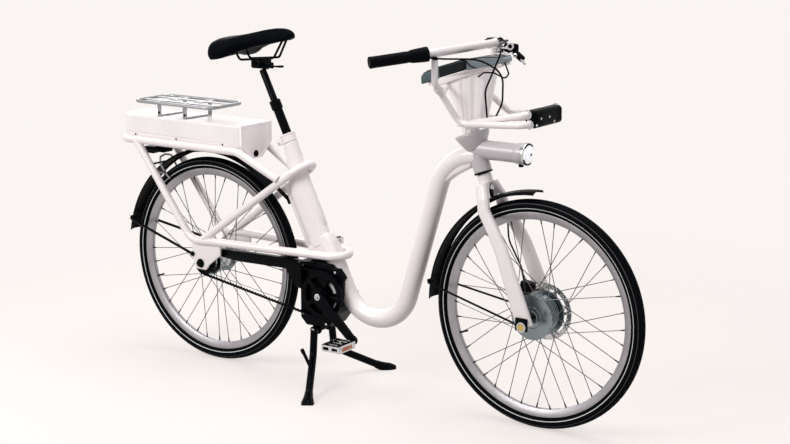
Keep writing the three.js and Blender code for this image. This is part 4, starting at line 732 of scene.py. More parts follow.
# %% Main tube with its gusset
main_line = [(438.9, 0, 427.9, 0), (636.5, 0, 24.5, 116), (849.4, 0, 725.0, 133), (951.1, 0, 741.2, 0)]
main_tube = round_tube("main", bent_line(main_line, 24), 26.5, 40)
gusset = plate("gusset", [(836, 657), (855, 656), (882, 677), (925, 701), (936, 704), (944, 735),
                          (870, 725)], -17, 17, 7, 4)
hand_over(main_tube, "main_tube_round", "frame", "white_paint", "white_paint", "main_tube")
hand_over(gusset, "main_tube_gusset", "frame", "white_paint")
print("main tube", len(main_tube.data.polygons), "faces")

# %% Carrier loop, stays and brace
loop = round_tube("loop", bent_line(both_sides([(290, -54, 609, 0), (153, -74, 681, 60),
                                                (-325, -74, 681, 47)])), 12)
hand_over(loop, "carrier_loop_round", "frame", "white_paint", "white_paint", "carrier_loop")
brace = round_tube("brace", bent_line(both_sides([(14, -75, 398, 0), (365, -38.8, 653, 38.5)])), 12)
hand_over(brace, "brace_round", "frame", "white_paint", "white_paint", "brace_loop")
DROPOUT = [(-0.62, 1), (1.42, 1.12), (1.42, 0.5), (0.62, -0.02), (0.36, -0.3), (-0.36, -0.3), (-0.62, 0.2)]
DROPOUT_WIDE, DROPOUT_TALL = 68 * 0.82, 68 * 0.98
DROPOUT_INSIDE, DROPOUT_OUTSIDE = 67.8, 75.8
for side, word in ((-1, "right"), (1, "left")):
    corners = [(-254, 75 * side, 681, 0), (-35, 75 * side, 388, 60), (60, 75 * side, 394, 240),
               (500.6, 38.8 * side, 398, 38.5), (500.6, 0.15 * side, 398, 0)]
    stay = round_tube("stay", bent_line(corners, 14), 12)
    low, high = sorted((side * DROPOUT_INSIDE, side * DROPOUT_OUTSIDE))
    outline = [(DROPOUT_WIDE * a, 320 + DROPOUT_TALL * c) for a, c in DROPOUT]
    dropout = plate("dropout", outline, low, high, 3, 3)
    hand_over(weld(stay, dropout), "rear_stay_" + word, "frame", "white_paint", "white_paint",
              "rear_frame_" + word)

# %% Seat tube, collar and head tube
seat_tube = soft_casting("seat_tube", 2.2, 14)
hand_over(seat_tube, "seat_tube_oval", "frame", "white_paint", "white_paint", "seat_tube")
# The post's bore comes out through the front of the oval by 0.1 mm, so a thin sleeve in the same paint
# closes the wall there. The foot covers the joint with the main tube.
POST_BORE = 14.15
SLEEVE_DOWN = 262
sleeve_line = [(12, -34), (14.6, -30), (16.3, 4), (16.3, 190), (15.6, 196), (POST_BORE, 196),
               (POST_BORE, 0), (12, 0)]
sleeve = turned("sleeve", sleeve_line, seat_point(SLEEVE_DOWN), SEAT_UP, 56, True)
foot_line = [(438, 462), (466, 430), (481, 399), (489, 375.6), (383, 375.6), (367, 395), (373, 408),
             (402, 440)]
foot = plate("foot", foot_line, -23.4, 23.4, 11, 6)
hand_over(weld(sleeve, foot), "seat_tube_foot", "frame", "white_paint")
collar = weld(round_edges(copy_of("seat_collar"), 0.9, 2, 40),
              turned("collar_lip", [(14.5, 26), (22.6, 26), (23.2, 25), (23.2, 22.6), (22.4, 21.8),
                                    (14.5, 21.8)], seat_point(26), SEAT_UP, 48, True))
hand_over(collar, "seat_collar_round", "frame", "white_paint", "white_paint", "seat_collar")
head_tube = turned("head", [(14.6, 0), (24.2, 0), (25, 0.8), (25, 61.2), (24.2, 62), (14.6, 62)],
                   head_point(0), HEAD_UP, 64, True)
# Painted shade: the head tube gets the grey copy of the white paint.
hand_over(head_tube, "head_tube_round", "frame", "white_paint", "painted_shade_white", "head_tube")
ring = turned("ring", [(14.4, 0), (25.4, 0), (26, 0.6), (26, 4.4), (25.4, 5), (14.4, 5)], head_point(-5.3),
              HEAD_UP, 64, True)
hand_over(ring, "headset_ring_round", "steering", "black_metal", "black_metal", "headset_ring")
cover = turned("cover", [(0, 0), (25.6, 0), (27.4, 1.2), (47, 38.5), (48, 41), (48, 46.2), (46.8, 47.8),
                         (0, 47.8)], head_point(62.7), HEAD_UP, 72)
# Painted shade: the head cover gets the grey copy of the white paint.
hand_over(cover, "head_cover_round", "steering", "white_paint", "painted_shade_white", "head_cover")

# %% [markdown]
# The lamp sits in a short tube on the head tube. Its shell is one turned profile, with the ring that holds
# the lens a little proud of it. The turning cover behind needs room, so a cone is cut out of the shell's
# rear end.

# %% Lamp
LAMP_HEIGHT = 758


def lamp_part(name, profile, start, steps, loop=False):
    """The lamp's parts are turned on its level axis. Start is where the profile's height is nought."""
    return turned(name, profile, at(start, 0, LAMP_HEIGHT), (1, 0, 0), steps, loop)


lamp = lamp_part("lamp", [(0, 0), (26.5, 0), (26.5, 124), (28.1, 124.4), (28.5, 125.2), (28.5, 148.6),
                          (27.9, 149.8), (26.2, 150), (25.3, 149), (25.3, 138), (0, 138)], 950, 72)
cone = turned("room", [(0, -1.5), (27.2, -1.5), (48.5, 40.4), (48.5, 60), (0, 60)], head_point(62.3),
              HEAD_UP, 64)
lamp = cut_away(lamp, cone)
# Painted shade: the lamp tube gets the grey copy of the white paint.
hand_over(lamp, "lamp_tube_round", "frame", "white_paint", "painted_shade_white", "headlight_tube")
lens = lamp_part("lens", [(0, 0), (24.9, 0), (24.9, 10.6), (24.2, 12.4), (22.6, 13.6), (19, 15.6),
                          (14, 17.6), (8, 19), (3, 19.6), (0, 19.7)], 1088.4, 64)
hand_over(lens, "lamp_lens_dome", "frame", "lamp_glass", "lamp_glass", "headlight_lens")
bezel = lamp_part("bezel", [(24.4, 7), (28.6, 0), (29.4, 0.5), (29.8, 1.4), (29.0, 1.9), (29.2, 3.2),
                            (30.2, 3.7), (30.5, 5.0), (29.7, 5.5), (29.9, 6.9), (30.9, 7.4), (31.2, 10.4),
                            (30.2, 12.6), (28.4, 13.4), (26.4, 12.4), (24.6, 9)], 1094.5, 72, True)
hand_over(bezel, "lamp_bezel", "frame", "bright_steel")
lens_ring = lamp_part("lens_ring", [(14.6, 0), (16.4, 0), (16.8, 0.5), (16.2, 1.1), (14.8, 1.1),
                                    (14.3, 0.5)], 1105.1, 56, True)
hand_over(lens_ring, "lamp_lens_ring", "frame", "bright_steel")
for word, first in (("upper", 46), ("lower", 205)):
    turns = [math.radians(first + 11 * k) for k in range(9)]
    arc = [at(1108.2, 28.4 * math.cos(turn), LAMP_HEIGHT + 27.6 * math.sin(turn)) for turn in turns]
    shade = round_tube("shade", arc, 2.4, 14)
    hand_over(shade, "lamp_shade_" + word, "frame", "black_plastic", "black_plastic")
glass = lamp_part("glass", [(0, 0), (25.6, 0), (26.2, 1.2), (25.4, 3.4), (21, 6.6), (15, 8.9), (8, 10.4),
                            (0, 10.9)], 1105.6, 64)
hand_over(glass, "lamp_outer_glass", "frame", "lamp_glass")
bulb = lamp_part("bulb", [(0, 0), (3.6, 0), (4.2, 0.5), (3.6, 1.1), (0, 1.3)], 1115.6, 28)
hand_over(bulb, "lamp_bulb_mark", "frame", "black_plastic")
knob = turned("knob", [(0, 0), (6, 0), (7, 1), (7, 8), (6, 9.6), (0, 10)], at(1086, 0, 731.5), (0, 0, -1),
              24)
hand_over(knob, "lamp_knob", "frame", "black_plastic")
print("lamp", [round(d * 1000) for d in lamp.dimensions], "mm")

# %% [markdown]
# ## Battery box and rack
#
# The box is one moulding with a round tail and soft edges. A cube would have to be cut to get the tail, so
# its plan is drawn as an outline and pulled up. Two cuts close together, pushed in between, make the thin
# line round it.

# %% Battery box
BOX_LOW, BOX_TOP, BOX_FRONT, BOX_REAR, BOX_HALF, TAIL = 690.5, 759, 162, -325, 72, 45


def plan_shape(name, outline, low, high):
    """Outline: (x, y) in the drawing's millimetres, seen from above."""
    obj = traced(name, [at(x, y, low) for x, y in outline], True)
    bpy.ops.mesh.edge_face_add()
    bpy.ops.mesh.extrude_region_move(TRANSFORM_OT_translate={"value": (0, 0, (high - low) / 1000)})
    close_mesh()
    return tidy_mesh(obj)


def tail_arc(side, steps=12):
    spots = []
    for k in range(steps + 1):
        angle = math.pi / 2 * (k / steps if side < 0 else 1 - k / steps)
        spots.append((BOX_REAR + TAIL - TAIL * math.cos(angle),
                      side * (BOX_HALF - TAIL + TAIL * math.sin(angle))))
    return spots


plan = [(BOX_FRONT, -BOX_HALF)] + list(reversed(tail_arc(-1))) + list(reversed(tail_arc(1))) + [(BOX_FRONT,
        BOX_HALF)]
battery = plan_shape("battery", plan, BOX_LOW, BOX_TOP)
battery = round_edges(battery, 6.5, 5, 40)


def groove_across(obj, spot, normal, gap, depth):
    """Two cuts a gap apart, and the skin between them pushed in along its own normals."""
    normal = Vector(normal).normalized()
    for shift in (-gap / 2000, gap / 2000):
        open_mesh(obj)
        bpy.ops.mesh.select_all(action="SELECT")
        bpy.ops.mesh.bisect(plane_co=Vector(spot) + normal * shift, plane_no=normal)
        close_mesh()
    picked = choose(obj, lambda c, n: abs((c - Vector(spot)).dot(normal)) < gap / 2100)
    bpy.ops.mesh.extrude_region_shrink_fatten(TRANSFORM_OT_shrink_fatten={"value": -depth / 1000})
    close_mesh()
    return picked


groove_across(battery, at(0, 0, 703), (0.012, 0, 1), 1.1, 1.6)
smooth(battery)
hand_over(battery, "battery_shell", "frame", "box_shell", "box_shell", "battery_box")
print("battery shell", [round(d * 1000) for d in battery.dimensions], "mm")

# %% Its end cover with the lock, small screws and the handle slot
COVER = [(-1, 1), (1, 1), (1, 0.42), (0.84, 0.3), (0.36, 0), (-0.36, 0), (-0.84, 0.3), (-1, 0.42)]
COVER_BACK, COVER_LOW, COVER_TALL = 162.3, 655, 104
end_cover = traced("end_cover", [at(COVER_BACK, BOX_HALF * y, COVER_LOW + COVER_TALL * z) for y,
                                 z in COVER], True)
bpy.ops.mesh.edge_face_add()
bpy.ops.mesh.extrude_region_move(TRANSFORM_OT_translate={"value": (0.007, 0, 0)})
close_mesh()
tidy_mesh(end_cover)
choose(end_cover, lambda c, n: n.x > 0.9)
bpy.ops.mesh.inset(thickness=0.009, depth=0)
bpy.ops.mesh.inset(thickness=0.0012, depth=0)
choose(end_cover, lambda c, n: False)
close_mesh()
band = [f for f in end_cover.data.polygons if f.normal.x > 0.9]
band.sort(key=lambda f: -f.area)
inner = band[0]
around = {v for v in inner.vertices}
for f in end_cover.data.polygons:
    f.select = f.normal.x > 0.9 and f.index != inner.index and bool(around & set(f.vertices))
bpy.ops.object.mode_set(mode="EDIT")
bpy.ops.mesh.extrude_region_move(TRANSFORM_OT_translate={"value": (-0.0014, 0, 0)})
close_mesh()
tidy_mesh(end_cover)
round_edges(end_cover, 0.45, 2, 50)
hand_over(end_cover, "battery_end_plate", "frame", "shade_panel", "shade_panel", "battery_end_cover")
lock = turned("lock", [(0, 0), (9, 0), (10, 1), (10, 3.4), (9, 4.4), (5, 4.4), (4.6, 3), (0, 3)],
              at(168.6, -6, 669), (1, 0, 0), 40)
hand_over(lock, "battery_lock", "frame", "black_plastic")
slot = slab("keyway", at(172.2, -6, 678), (1, 1.6, 6), 0.3)
hand_over(slot, "battery_keyway", "frame", "bright_steel")


def screw(name, spot, way, head, finish, body="frame", slot_name="black_metal", height=1.6):
    """A round head with a round socket sunk in it."""
    socket = head * 0.5
    obj = turned(name, [(0, height * 0.35), (socket, height * 0.35), (socket, height),
                        (head * 0.86, height),
                        (head, height * 0.7), (head, -0.6), (0, -0.6)], spot, way, 20)
    return hand_over(obj, name, body, slot_name, finish)


for i, x in enumerate((-258, -90, 96)):
    screw("battery_screw_%d" % i, at(x, -72.2, 697.5), (0, -1, 0), 2.6, "black_metal")
    screw("battery_screw_left_%d" % i, at(x, 72.2, 697.5), (0, 1, 0), 2.6, "black_metal")
rear_lamp = slab("rear_lamp", at(-233, 0, 644), (88, 46, 14), 5, 4)
hand_over(rear_lamp, "rear_lamp_body", "frame", "black_plastic")
rear_glass = slab("rear_glass", at(-277.4, 0, 644), (4, 40, 10), 1.6, 3)
hand_over(rear_glass, "rear_lamp_glass", "frame", "black_plastic", "red_reflector")
lamp_arm = weld(slab("lamp_arm", at(-226, 0, 668), (14, 26, 40), 2, 2),
                slab("lamp_chin", at(-254, 0, 635), (30, 34, 12), 4, 3))
hand_over(lamp_arm, "rear_lamp_arm", "frame", "black_plastic")
for i, (x, y) in enumerate(((-168, -58), (-64, -58), (-168, 58), (-64, 58))):
    screw("rack_bolt_%d" % i, at(x, y + (2.1 if y > 0 else -2.1), 771), (0, 1 if y > 0 else -1, 0), 3.6,
          "black_metal")

# %% Rack
DECK, DECK_HALF, DECK_BEND = 803, 77, 28
DECK_REAR, DECK_MIDDLE, DECK_FRONT = -257, -100.5, 56
rack_corners = [(DECK_MIDDLE, -DECK_HALF, DECK, 0)]
for x, side in ((DECK_REAR, -1), (DECK_REAR, 1), (DECK_FRONT, 1), (DECK_FRONT, -1)):
    rack_corners.append((x, side * DECK_HALF, DECK, DECK_BEND))
rack_corners.append(rack_corners[0])
hoop = round_tube("hoop", bent_line(rack_corners, 8)[:-1], 5, 16, ring=True)
parts = [hoop]
for x in (-168, -64):
    for y in (-58, 58):
        parts.append(slab("leg", at(x, y, 781), (14, 4, 44), 0.9))
    parts.append(slab("foot", at(x, 0, 761.2), (14, 118, 4), 0.9))


def slotted(name, centre, size, holes):
    """A flat bar of sheet across the bicycle, with rounded slots punched through it."""
    bar = slab(name, centre, size, 0.7)
    pitch = size[1] / (holes + 0.4)
    wide = size[0] * 0.42
    for k in range(holes):
        spot = centre + Vector((0, (k - (holes - 1) / 2) * pitch, 0)) / 1000
        cut_away(bar, slab("punch", spot, (wide, pitch * 0.62, 20), wide * 0.45, 3))
    return bar


for x in (-168, -64):
    parts.append(slotted("slat", at(x, 0, DECK), (30, 148, 3), 3))
parts.append(slotted("slat_front", at(41, 0, DECK), (15, 148, 3), 1))
for y in (-29, 29):
    parts.append(slab("rib", at(-100.5, y, 803.4), (306, 15, 3.4), 0.7))
rack = weld(*parts)
hand_over(rack, "rack_assembly", "frame", "rack_metal", "rack_metal", "rear_rack")
print("rack", [round(d * 1000) for d in rack.dimensions], "mm")

# %% [markdown]
# ## Mudguards
#
# A mudguard is a thin gutter bent round the wheel. Its section is drawn once in the plane of its front edge
# and spun about the axle through the angle that it covers, so it stays a true arc with an even skin.

# %% Mudguards
def gutter(name, axle, radius, start, stop, steps):
    arch = [(-27, radius - 9), (-25, radius - 5.4), (-18.9, radius - 3), (-9.5, radius - 0.8), (0, radius),
            (9.5, radius - 0.8), (18.9, radius - 3), (25, radius - 5.4), (27, radius - 9)]
    under = [(y, r - 2.5) for y, r in reversed(arch)]
    spots = [Vector((r / 1000, y / 1000, 0)) for y, r in arch + under]
    obj = traced(name, spots, True)
    bpy.ops.mesh.edge_face_add()
    bpy.ops.mesh.select_all(action="SELECT")
    bpy.ops.mesh.spin(steps=steps, angle=math.radians(stop - start), center=(0, 0, 0), axis=(0, 1, 0))
    close_mesh()
    tidy_mesh(obj)
    obj.data.transform(Matrix.Translation(axle) @ Matrix.Rotation(-math.radians(start), 4, "Y"))
    return smooth(obj, 40)


def on_circle(axle, radius, angle, y=0.0):
    turn = math.radians(angle)
    return axle + Vector((radius * math.cos(turn), y, radius * math.sin(turn))) / 1000


rear_guard = gutter("rear_guard", REAR_AXLE, 350, 48, 171, 60)
TUBE_BACK, FIT, TAB_THICK = 84, 0.3, 2.5
wall = -TUBE_BACK - FIT - TAB_THICK / 2
tab = strap("tab", seat_point(192, wall), seat_point(164, wall), 18, 2.5)
tongue = strap("tongue", on_circle(REAR_AXLE, 347.5, 52), seat_point(178, wall), 18, 2.5)
bridge = strap("bridge", on_circle(REAR_AXLE, 350, 123.7), on_circle(REAR_AXLE, 350, 125.7), 125.4, 2.5)
hand_over(weld(rear_guard, tab, tongue, bridge), "rear_guard_round", "frame", "black_plastic",
          "black_plastic", "rear_fender")
front_guard = gutter("front_guard", FRONT_AXLE, 345, 91, 180, 46)
hook = strap("hook", on_circle(FRONT_AXLE, 342.5, 116), at(992, 0, 655), 18, 2.5)
hand_over(weld(front_guard, hook), "front_guard_round", "steering", "black_plastic", "black_plastic",
          "front_fender")
wires = {
    "rear": (both_sides([(-31, -78, 346, 0), (-339, -30, 413.2, 18)]), "frame", "rear_fender_stay"),
    "front": (both_sides([(1126, -72, 304, 0), (802.4, -30, 368.4, 18)]), "steering", "front_fender_stay"),
}
for end, (corners, body, node) in wires.items():
    wire = round_tube(end + "_wire", bent_line(corners, 8), 4.2 if end == "rear" else 3, 16)
    foot = corners[0]
    eyes = [turned("eye", [(0, 0), (7, 0), (7.5, 0.6), (7.5, 4.2), (6.6, 5), (0, 5)],
                   at(foot[0], side * (abs(foot[1]) - 2.6), foot[2]), (0, side, 0), 24) for side in (-1, 1)]
    hand_over(weld(wire, *eyes), end + "_guard_wire", body, "black_metal", "black_metal", node)
    back = corners[1]
    clip = slab("clip", at(back[0] + 3, 0, back[2]), (9, 50, 14), 2, 3, 12)
    hand_over(clip, end + "_guard_clip", body, "black_plastic", "black_plastic")
    for side in (-1, 1):
        screw("%s_clip_screw_%s" % (end, "right" if side < 0 else "left"),
              at(back[0] - 1.6, side * 18, back[2]), (-1, 0, 0.2), 3.2, "bright_steel", body,
              "bright_steel")
screw("front_guard_bolt", on_circle(FRONT_AXLE, 345.4, 112.6), on_circle(Vector(), 1, 112.6), 5,
      "bright_steel", "steering", "bright_steel", 2.4)
hoop_line = bent_line([(-160, -29, 560, 0), (-181, -31, 582, 20), (-197, -32, 607, 14), (-202, -25, 624, 8),
                       (-204, 0, 629, 20), (-202, 25, 624, 8), (-197, 32, 607, 14), (-181, 31, 582, 20),
                       (-160, 29, 560, 0)], 8)
hoop = round_tube("hoop", hoop_line, 3.2, 14)
for side in (-1, 1):
    strut = round_tube("strut", bent_line([(-176, side * 31, 577, 0), (-184, side * 66, 586, 0)], 8), 5, 18)
    hoop = weld(hoop, strut)
hand_over(hoop, "rear_guard_hoop", "frame", "black_plastic", "rim_metal")
crown_bolt = turned("crown_bolt", [(0, 0), (6.6, 0), (7.4, 0.8), (7.4, 3.2), (6.4, 4.2), (3.4, 4.2),
                                   (3, 2.6), (0, 2.6)], at(994, 0, 656), (1, -0.2, 0.3), 32)
hand_over(crown_bolt, "front_crown_bolt", "steering", "bright_steel")

# %% [markdown]
# ## Belt drive
#
# The belt is a toothed band round two wheels. Its teeth face inwards, so they show on the upper side of the
# lower run. One tooth is made and copied along the same line that the band follows.

# %% Belt
CRANK = at(450, 0, 280)
FRONT_RING, REAR_RING = 70.0, 38.5


def belt_line(grow, steps=(24, 44)):
    span = CRANK - REAR_AXLE
    along = math.degrees(math.atan2(span.z, span.x))
    lean = math.degrees(math.asin((FRONT_RING - REAR_RING) / 1000 / span.length))
    spots = []
    for axle, radius, start, stop, count in (
            (REAR_AXLE, REAR_RING, along + 90 + lean, along + 270 - lean, steps[0]),
            (CRANK, FRONT_RING, along - 90 - lean, along + 90 + lean, steps[1])):
        for k in range(count + 1):
            spots.append(on_circle(axle, radius + grow, start + (stop - start) * k / count))
    return spots


def band(name, grow, thick, low, high):
    """A closed band across the bicycle: its line is drawn, widened and given its thickness."""
    obj = traced(name, [spot + Vector((0, low / 1000, 0)) for spot in belt_line(grow)], True)
    bpy.ops.mesh.extrude_region_move(TRANSFORM_OT_translate={"value": (0, (high - low) / 1000, 0)})
    bpy.ops.mesh.select_all(action="SELECT")
    bpy.ops.mesh.normals_make_consistent(inside=False)
    close_mesh()
    take(obj)
    wall_of = obj.modifiers.new("wall", "SOLIDIFY")
    wall_of.thickness = thick / 1000
    wall_of.offset = -1
    bpy.ops.object.modifier_apply(modifier="wall")
    return obj


belt = band("belt", 3.5, 1.6, -58, -46)
line = belt_line(0.9)
line.append(line[0])
tooth = slab("tooth", Vector((0, 0, 0)), (5.2, 11.6, 2.6), 0.5, 1)
tall_tooth = slab("tall_tooth", Vector((0, 0, -0.0014)), (6.2, 11.6, 5.6), 0.9, 2)
teeth = []
walked, due = 0.0, 0.0
for a, b in zip(line, line[1:]):
    way = (b - a).normalized()
    long = (b - a).length
    while due < walked + long:
        other = twin(tall_tooth if long > 0.1 else tooth, "tooth")
        spot = a + way * (due - walked) - Vector((0, 0.052, 0))
        turn = Matrix((way, LEFT, way.cross(LEFT))).transposed().to_4x4()
        other.data.transform(Matrix.Translation(spot) @ turn)
        teeth.append(other)
        due += 0.011
    walked += long
bpy.data.objects.remove(tooth, do_unlink=True)
bpy.data.objects.remove(tall_tooth, do_unlink=True)
belt = weld(belt, *teeth)
hand_over(smooth(belt), "belt_toothed", "frame", "belt_rubber", "belt_rubber", "drive_belt")
print("belt", round(walked * 1000), "mm long with", len(teeth), "teeth")

# %% Belt guard and housing
def from_crank(outline):
    return [(450 + x, 280 + z) for x, z in outline]


guard = plate("guard", from_crank([(-384, 91), (-115, 98), (-30, 95), (-30, 92), (-87, 94), (-87, 8),
                                   (-128, 66), (-307, 62), (-384, 68)]), -62.4, -59.4, 0.8, 2)
guard_top = plate("guard_top", from_crank([(-384, 91), (-115, 98), (-30, 95), (-30, 92), (-115, 95),
                                           (-384, 88)]), -62.4, -44.3, 0.8, 2)
guard_tab = plate("guard_tab", from_crank([(-384, 70), (-368, 70), (-368, 90), (-384, 90)]), -67.2, -62.1,
                  0.6, 2)
hand_over(weld(guard, guard_top, guard_tab), "belt_guard_plate", "frame", "black_metal", "black_metal",
          "belt_guard")
housing = soft_casting("bb_housing", 2.4, 5)
hand_over(housing, "crank_housing", "frame", "black_metal", "black_metal", "bb_housing")
guard_lip = plate("guard_lip", from_crank([(-92, 93), (-30, 92.5), (-70, 84), (-70, 12), (-92, 16)]), -62.2,
                  -60, 0.6, 2)
hand_over(guard_lip, "belt_guard_lip", "frame", "black_metal")
for i, (x, z) in enumerate(((-76, 80), (-76, -66), (8, -88), (42, 74))):
    screw("housing_screw_%d" % i, at(450 + x, -44.2, 280 + z), (0, -1, 0), 4, "bright_steel", "frame",
          "black_metal", 2.2)
# Two pale crescents laid on the housing behind the chainring's openings: painted highlights, in the grey copy
# of the white paint, standing in for the light seen through the ring.
for i, (first, last, low, high) in enumerate(((14, 60, 38, 55), (-50, -22, 46, 56))):
    spots = [on_circle(Vector(), high, first + (last - first) * k / 8) for k in range(9)]
    spots += [on_circle(Vector(), low, last + (first - last) * k / 8) for k in range(9)]
    shine = plate("shine", from_crank([(spot.x * 1000, spot.z * 1000) for spot in spots]), -45.6, -44.2,
                  0.4, 2)
    hand_over(shine, "painted_highlight_patch_%d" % i, "frame", "bright_steel", "painted_shade_white")

# %% [markdown]
# ## Cranks, pedals and the chainring
#
# The ring and its five arms are one plate in the drawing. Here they are turned and cut separately, so that
# their edges can be broken: a black painted edge shows only by the light that its rounding catches.

# %% Chainring with its teeth and spider
axis = Vector((0, 1, 0))
chainring = turned("chainring", [(57, 0.8), (57.8, 0), (68.4, 0), (69.4, 0.8), (69.4, 11.2), (68.4, 12),
                                 (57.8, 12), (57, 11.2)], at(450, -58, 280), axis, 110, True)
cog = slab("cog", Vector((0, 0, 0)), (3.0, 11.4, 4.4), 0.6, 1)
cogs = []
for i in range(40):
    turn = Matrix.Rotation(-2 * math.pi * i / 40, 4, "Y")
    other = twin(cog, "cog")
    other.data.transform(Matrix.Translation(CRANK
                                            - Vector((0, 0.052, 0))) @ turn @ Matrix.Translation((0.0684, 0,
                                                    0)))
    cogs.append(other)
bpy.data.objects.remove(cog, do_unlink=True)
arms = []
for i in range(5):
    angle = -39.8 + 72 * (i + 0.5)
    arm = slab("arm", Vector((0, 0, 0)), (40, 6.4, 13), 2, 3)
    arm.data.transform(Matrix.Translation(CRANK
                                          - Vector((0, 0.056, 0))) @ Matrix.Rotation(-math.radians(angle),
                                                  4, "Y") @ Matrix.Translation((0.041, 0, 0)))
    arms.append(arm)
hub_disc = turned("hub_disc", [(12.9, 0), (24, 0), (24.7, 0.8), (24.7, 17.5), (23.6, 18.5), (12.9, 18.5)],
                  at(450, -52, 280), -axis, 48, True)
print("chainring with", len(cogs), "teeth and", len(arms), "arms")

# %% Crank arms
def crank_arm(side, angle):
    """A bar that narrows from its boss to the pedal's eye, with a rounded back."""
    turn = Matrix.Rotation(-math.radians(angle), 4, "Y")
    deselect()
    bpy.ops.mesh.primitive_cube_add(size=1, location=(0, 0, 0))
    bar = bpy.context.object
    bar.data.transform(Matrix.Diagonal((0.17, 0.013, 0.030, 1)))
    open_mesh(bar)
    bpy.ops.mesh.select_all(action="SELECT")
    bpy.ops.mesh.subdivide(number_cuts=5)
    close_mesh()
    for vertex in bar.data.vertices:
        share = vertex.co.x / 0.17 + 0.5
        vertex.co.z *= 1.14 - 0.36 * share
        vertex.co.y += side * (0.071 + 0.009 * share)
        vertex.co.x += 0.085
    round_edges(bar, 4, 4, 40)
    bar.data.transform(Matrix.Translation(CRANK) @ turn)
    boss = turned("boss", [(0, 0), (17.6, 0), (19, 1.4), (19, 11.6), (17.6, 13), (12, 13), (11, 11.4),
                           (0, 11.4)], CRANK + Vector((0, side * 0.0645, 0)), (0, side, 0), 40)
    end = CRANK + turn @ Vector((0.17, 0, 0))
    eye = turned("eye", [(0, 0), (12.8, 0), (14, 1.2), (14, 11.8), (12.8, 13), (0, 13)],
                 end + Vector((0, side * 0.0735, 0)), (0, side, 0), 36)
    pin = turned("pin", [(0, 0), (6, 0), (6, 98), (5, 99.4), (0, 99.4)], end + Vector((0, side * 0.08, 0)),
                 (0, side, 0), 24)
    return [bar, boss, eye, pin]


right = weld(chainring, *cogs, *arms, hub_disc, *crank_arm(-1, -39.8))
hand_over(smooth(right), "crank_right_set", "cranks", "black_metal", "black_metal", "crank_right")
spindle = turned("spindle", [(0, 0), (12.5, 0), (12.5, 142), (0, 142)], CRANK + Vector((0, -0.071, 0)),
                 axis, 32)
hand_over(smooth(weld(spindle, *crank_arm(1, 140.2))), "crank_left_set", "cranks", "black_metal",
          "black_metal", "crank_left")
for side, word in ((-1, "right"), (1, "left")):
    cap = turned("cap", [(0, 0), (9.4, 0), (10, 0.6), (10, 1.6), (9, 2.4), (5.6, 2.4), (5, 1), (0, 1)],
                 CRANK + Vector((0, side * 0.0764, 0)), (0, side, 0), 32)
    hand_over(cap, "crank_cap_" + word, "cranks", "black_metal", "bright_steel")

# %% Pedal, made once and copied
def pedal_parts():
    """Round the origin, its axle along Y: cage of sheet, two rubber treads, a barrel and the reflectors."""
    cage = []
    for x in (-1, 1):
        rail = slab("rail", Vector((x * 0.0302, 0, 0)), (2.2, 79, 21), 0.7)
        for k in range(9):
            notch = slab("notch", Vector((x * 0.0302, (k - 4) * 0.0082, 0.0112)), (8, 3.6, 3.2), 0.4, 1)
            cut_away(rail, notch)
        cage.append(rail)
    for y in (-1, 1):
        cheek = slab("cheek", Vector((0, y * 0.0384, 0)), (60, 2.2, 19), 0.7)
        for x in (-1, 1):
            cut_away(cheek, slab("window", Vector((x * 0.0155, y * 0.0384, 0)), (20, 6, 9), 2, 3))
        cage.append(cheek)
    for y in (-1, 0, 1):
        for z in (-1, 1):
            cage.append(slab("web", Vector((0, y * 0.021, z * 0.0088)), (59, 6.5, 2.2), 0.7))
    treads = []
    for x in (-1, 1):
        for z in (-1, 1):
            treads.append(slab("tread", Vector((x * 0.0235, 0, z * 0.0066)), (8, 73, 8.6), 1.6, 3))
            for k in range(6):
                treads.append(slab("stud", Vector((x * 0.0235, (k - 2.5) * 0.0118, z * 0.0112)),
                                   (7, 6, 2.4), 0.7, 2))
    barrel = turned("barrel", [(6.6, -38), (9.5, -37), (10, -35), (8.2, -30), (8.2, 30), (10, 35),
                               (9.5, 37), (6.6, 38)], Vector(), (0, 1, 0), 28, True)
    faces = [slab("reflector", Vector((x * 0.0317, 0, -0.0006)), (1.4, 46, 11), 0.5, 2) for x in (-1, 1)]
    return weld(*cage), weld(*treads, barrel), weld(*faces)


cage, rubber, faces = pedal_parts()
for word, spot, body in (("right", at(580.6, -150, 171.2), "pedal_r"),
                         ("left", at(319.4, 150, 388.8), "pedal_l")):
    for source, piece, slot_name, finish, nodes in (
            (cage, "pedal_cage_", "black_plastic", "silver_metal", ("pedal_" + word,)),
            (rubber, "pedal_rubber_", "black_plastic", "grip_rubber", ()),
            (faces, "pedal_reflector_", "black_plastic", "orange_reflector", ())):
        other = twin(source, piece + word)
        other.data.transform(Matrix.Translation(spot))
        hand_over(smooth(other), piece + word, body, slot_name, finish, *nodes)
for source in (cage, rubber, faces):
    bpy.data.objects.remove(source, do_unlink=True)

# %% [markdown]
# ## Wheels
#
# Tyre, rim, hub and brake disc are all turned shapes: one profile each, spun about the axle. The tread is
# cut after the spin, where every second face of the crown is inset and pushed in, so the blocks keep the
# tyre's own curve.

# %% Tyres
def tyre(name, axle, body, finish, node):
    wall = [(279.4, 9.6), (287.6, 9.8), (289.5, 13.6), (294, 17.6), (299.5, 19.6), (304, 20), (309, 18.6),
            (313.2, 15.6), (316.4, 11.6), (318.8, 6.4), (319.8, 2.2)]
    profile = wall + [(radius, -y) for radius, y in reversed(wall)]
    obj = turned(name, profile, axle, LEFT, 132, True, 50)

    def block(centre, normal):
        off = centre - axle
        reach = math.hypot(off.x, off.z)
        if reach < 0.3135 or abs(off.y) > 0.0136:
            return False
        turn = int(round((math.degrees(math.atan2(off.z, off.x)) % 360) / (360 / 132) - 0.5))
        band_of = 0 if abs(off.y) < 0.0024 else (1 if abs(off.y) < 0.009 else 2)
        return (turn + band_of) % 2 == 0 and band_of > 0

    blocks = choose(obj, block)
    bpy.ops.mesh.inset(use_individual=True, thickness=0.0008, depth=-0.0011)
    close_mesh()
    hand_over(smooth(obj, 50), name, body, "tyre_rubber", finish, node)
    return blocks


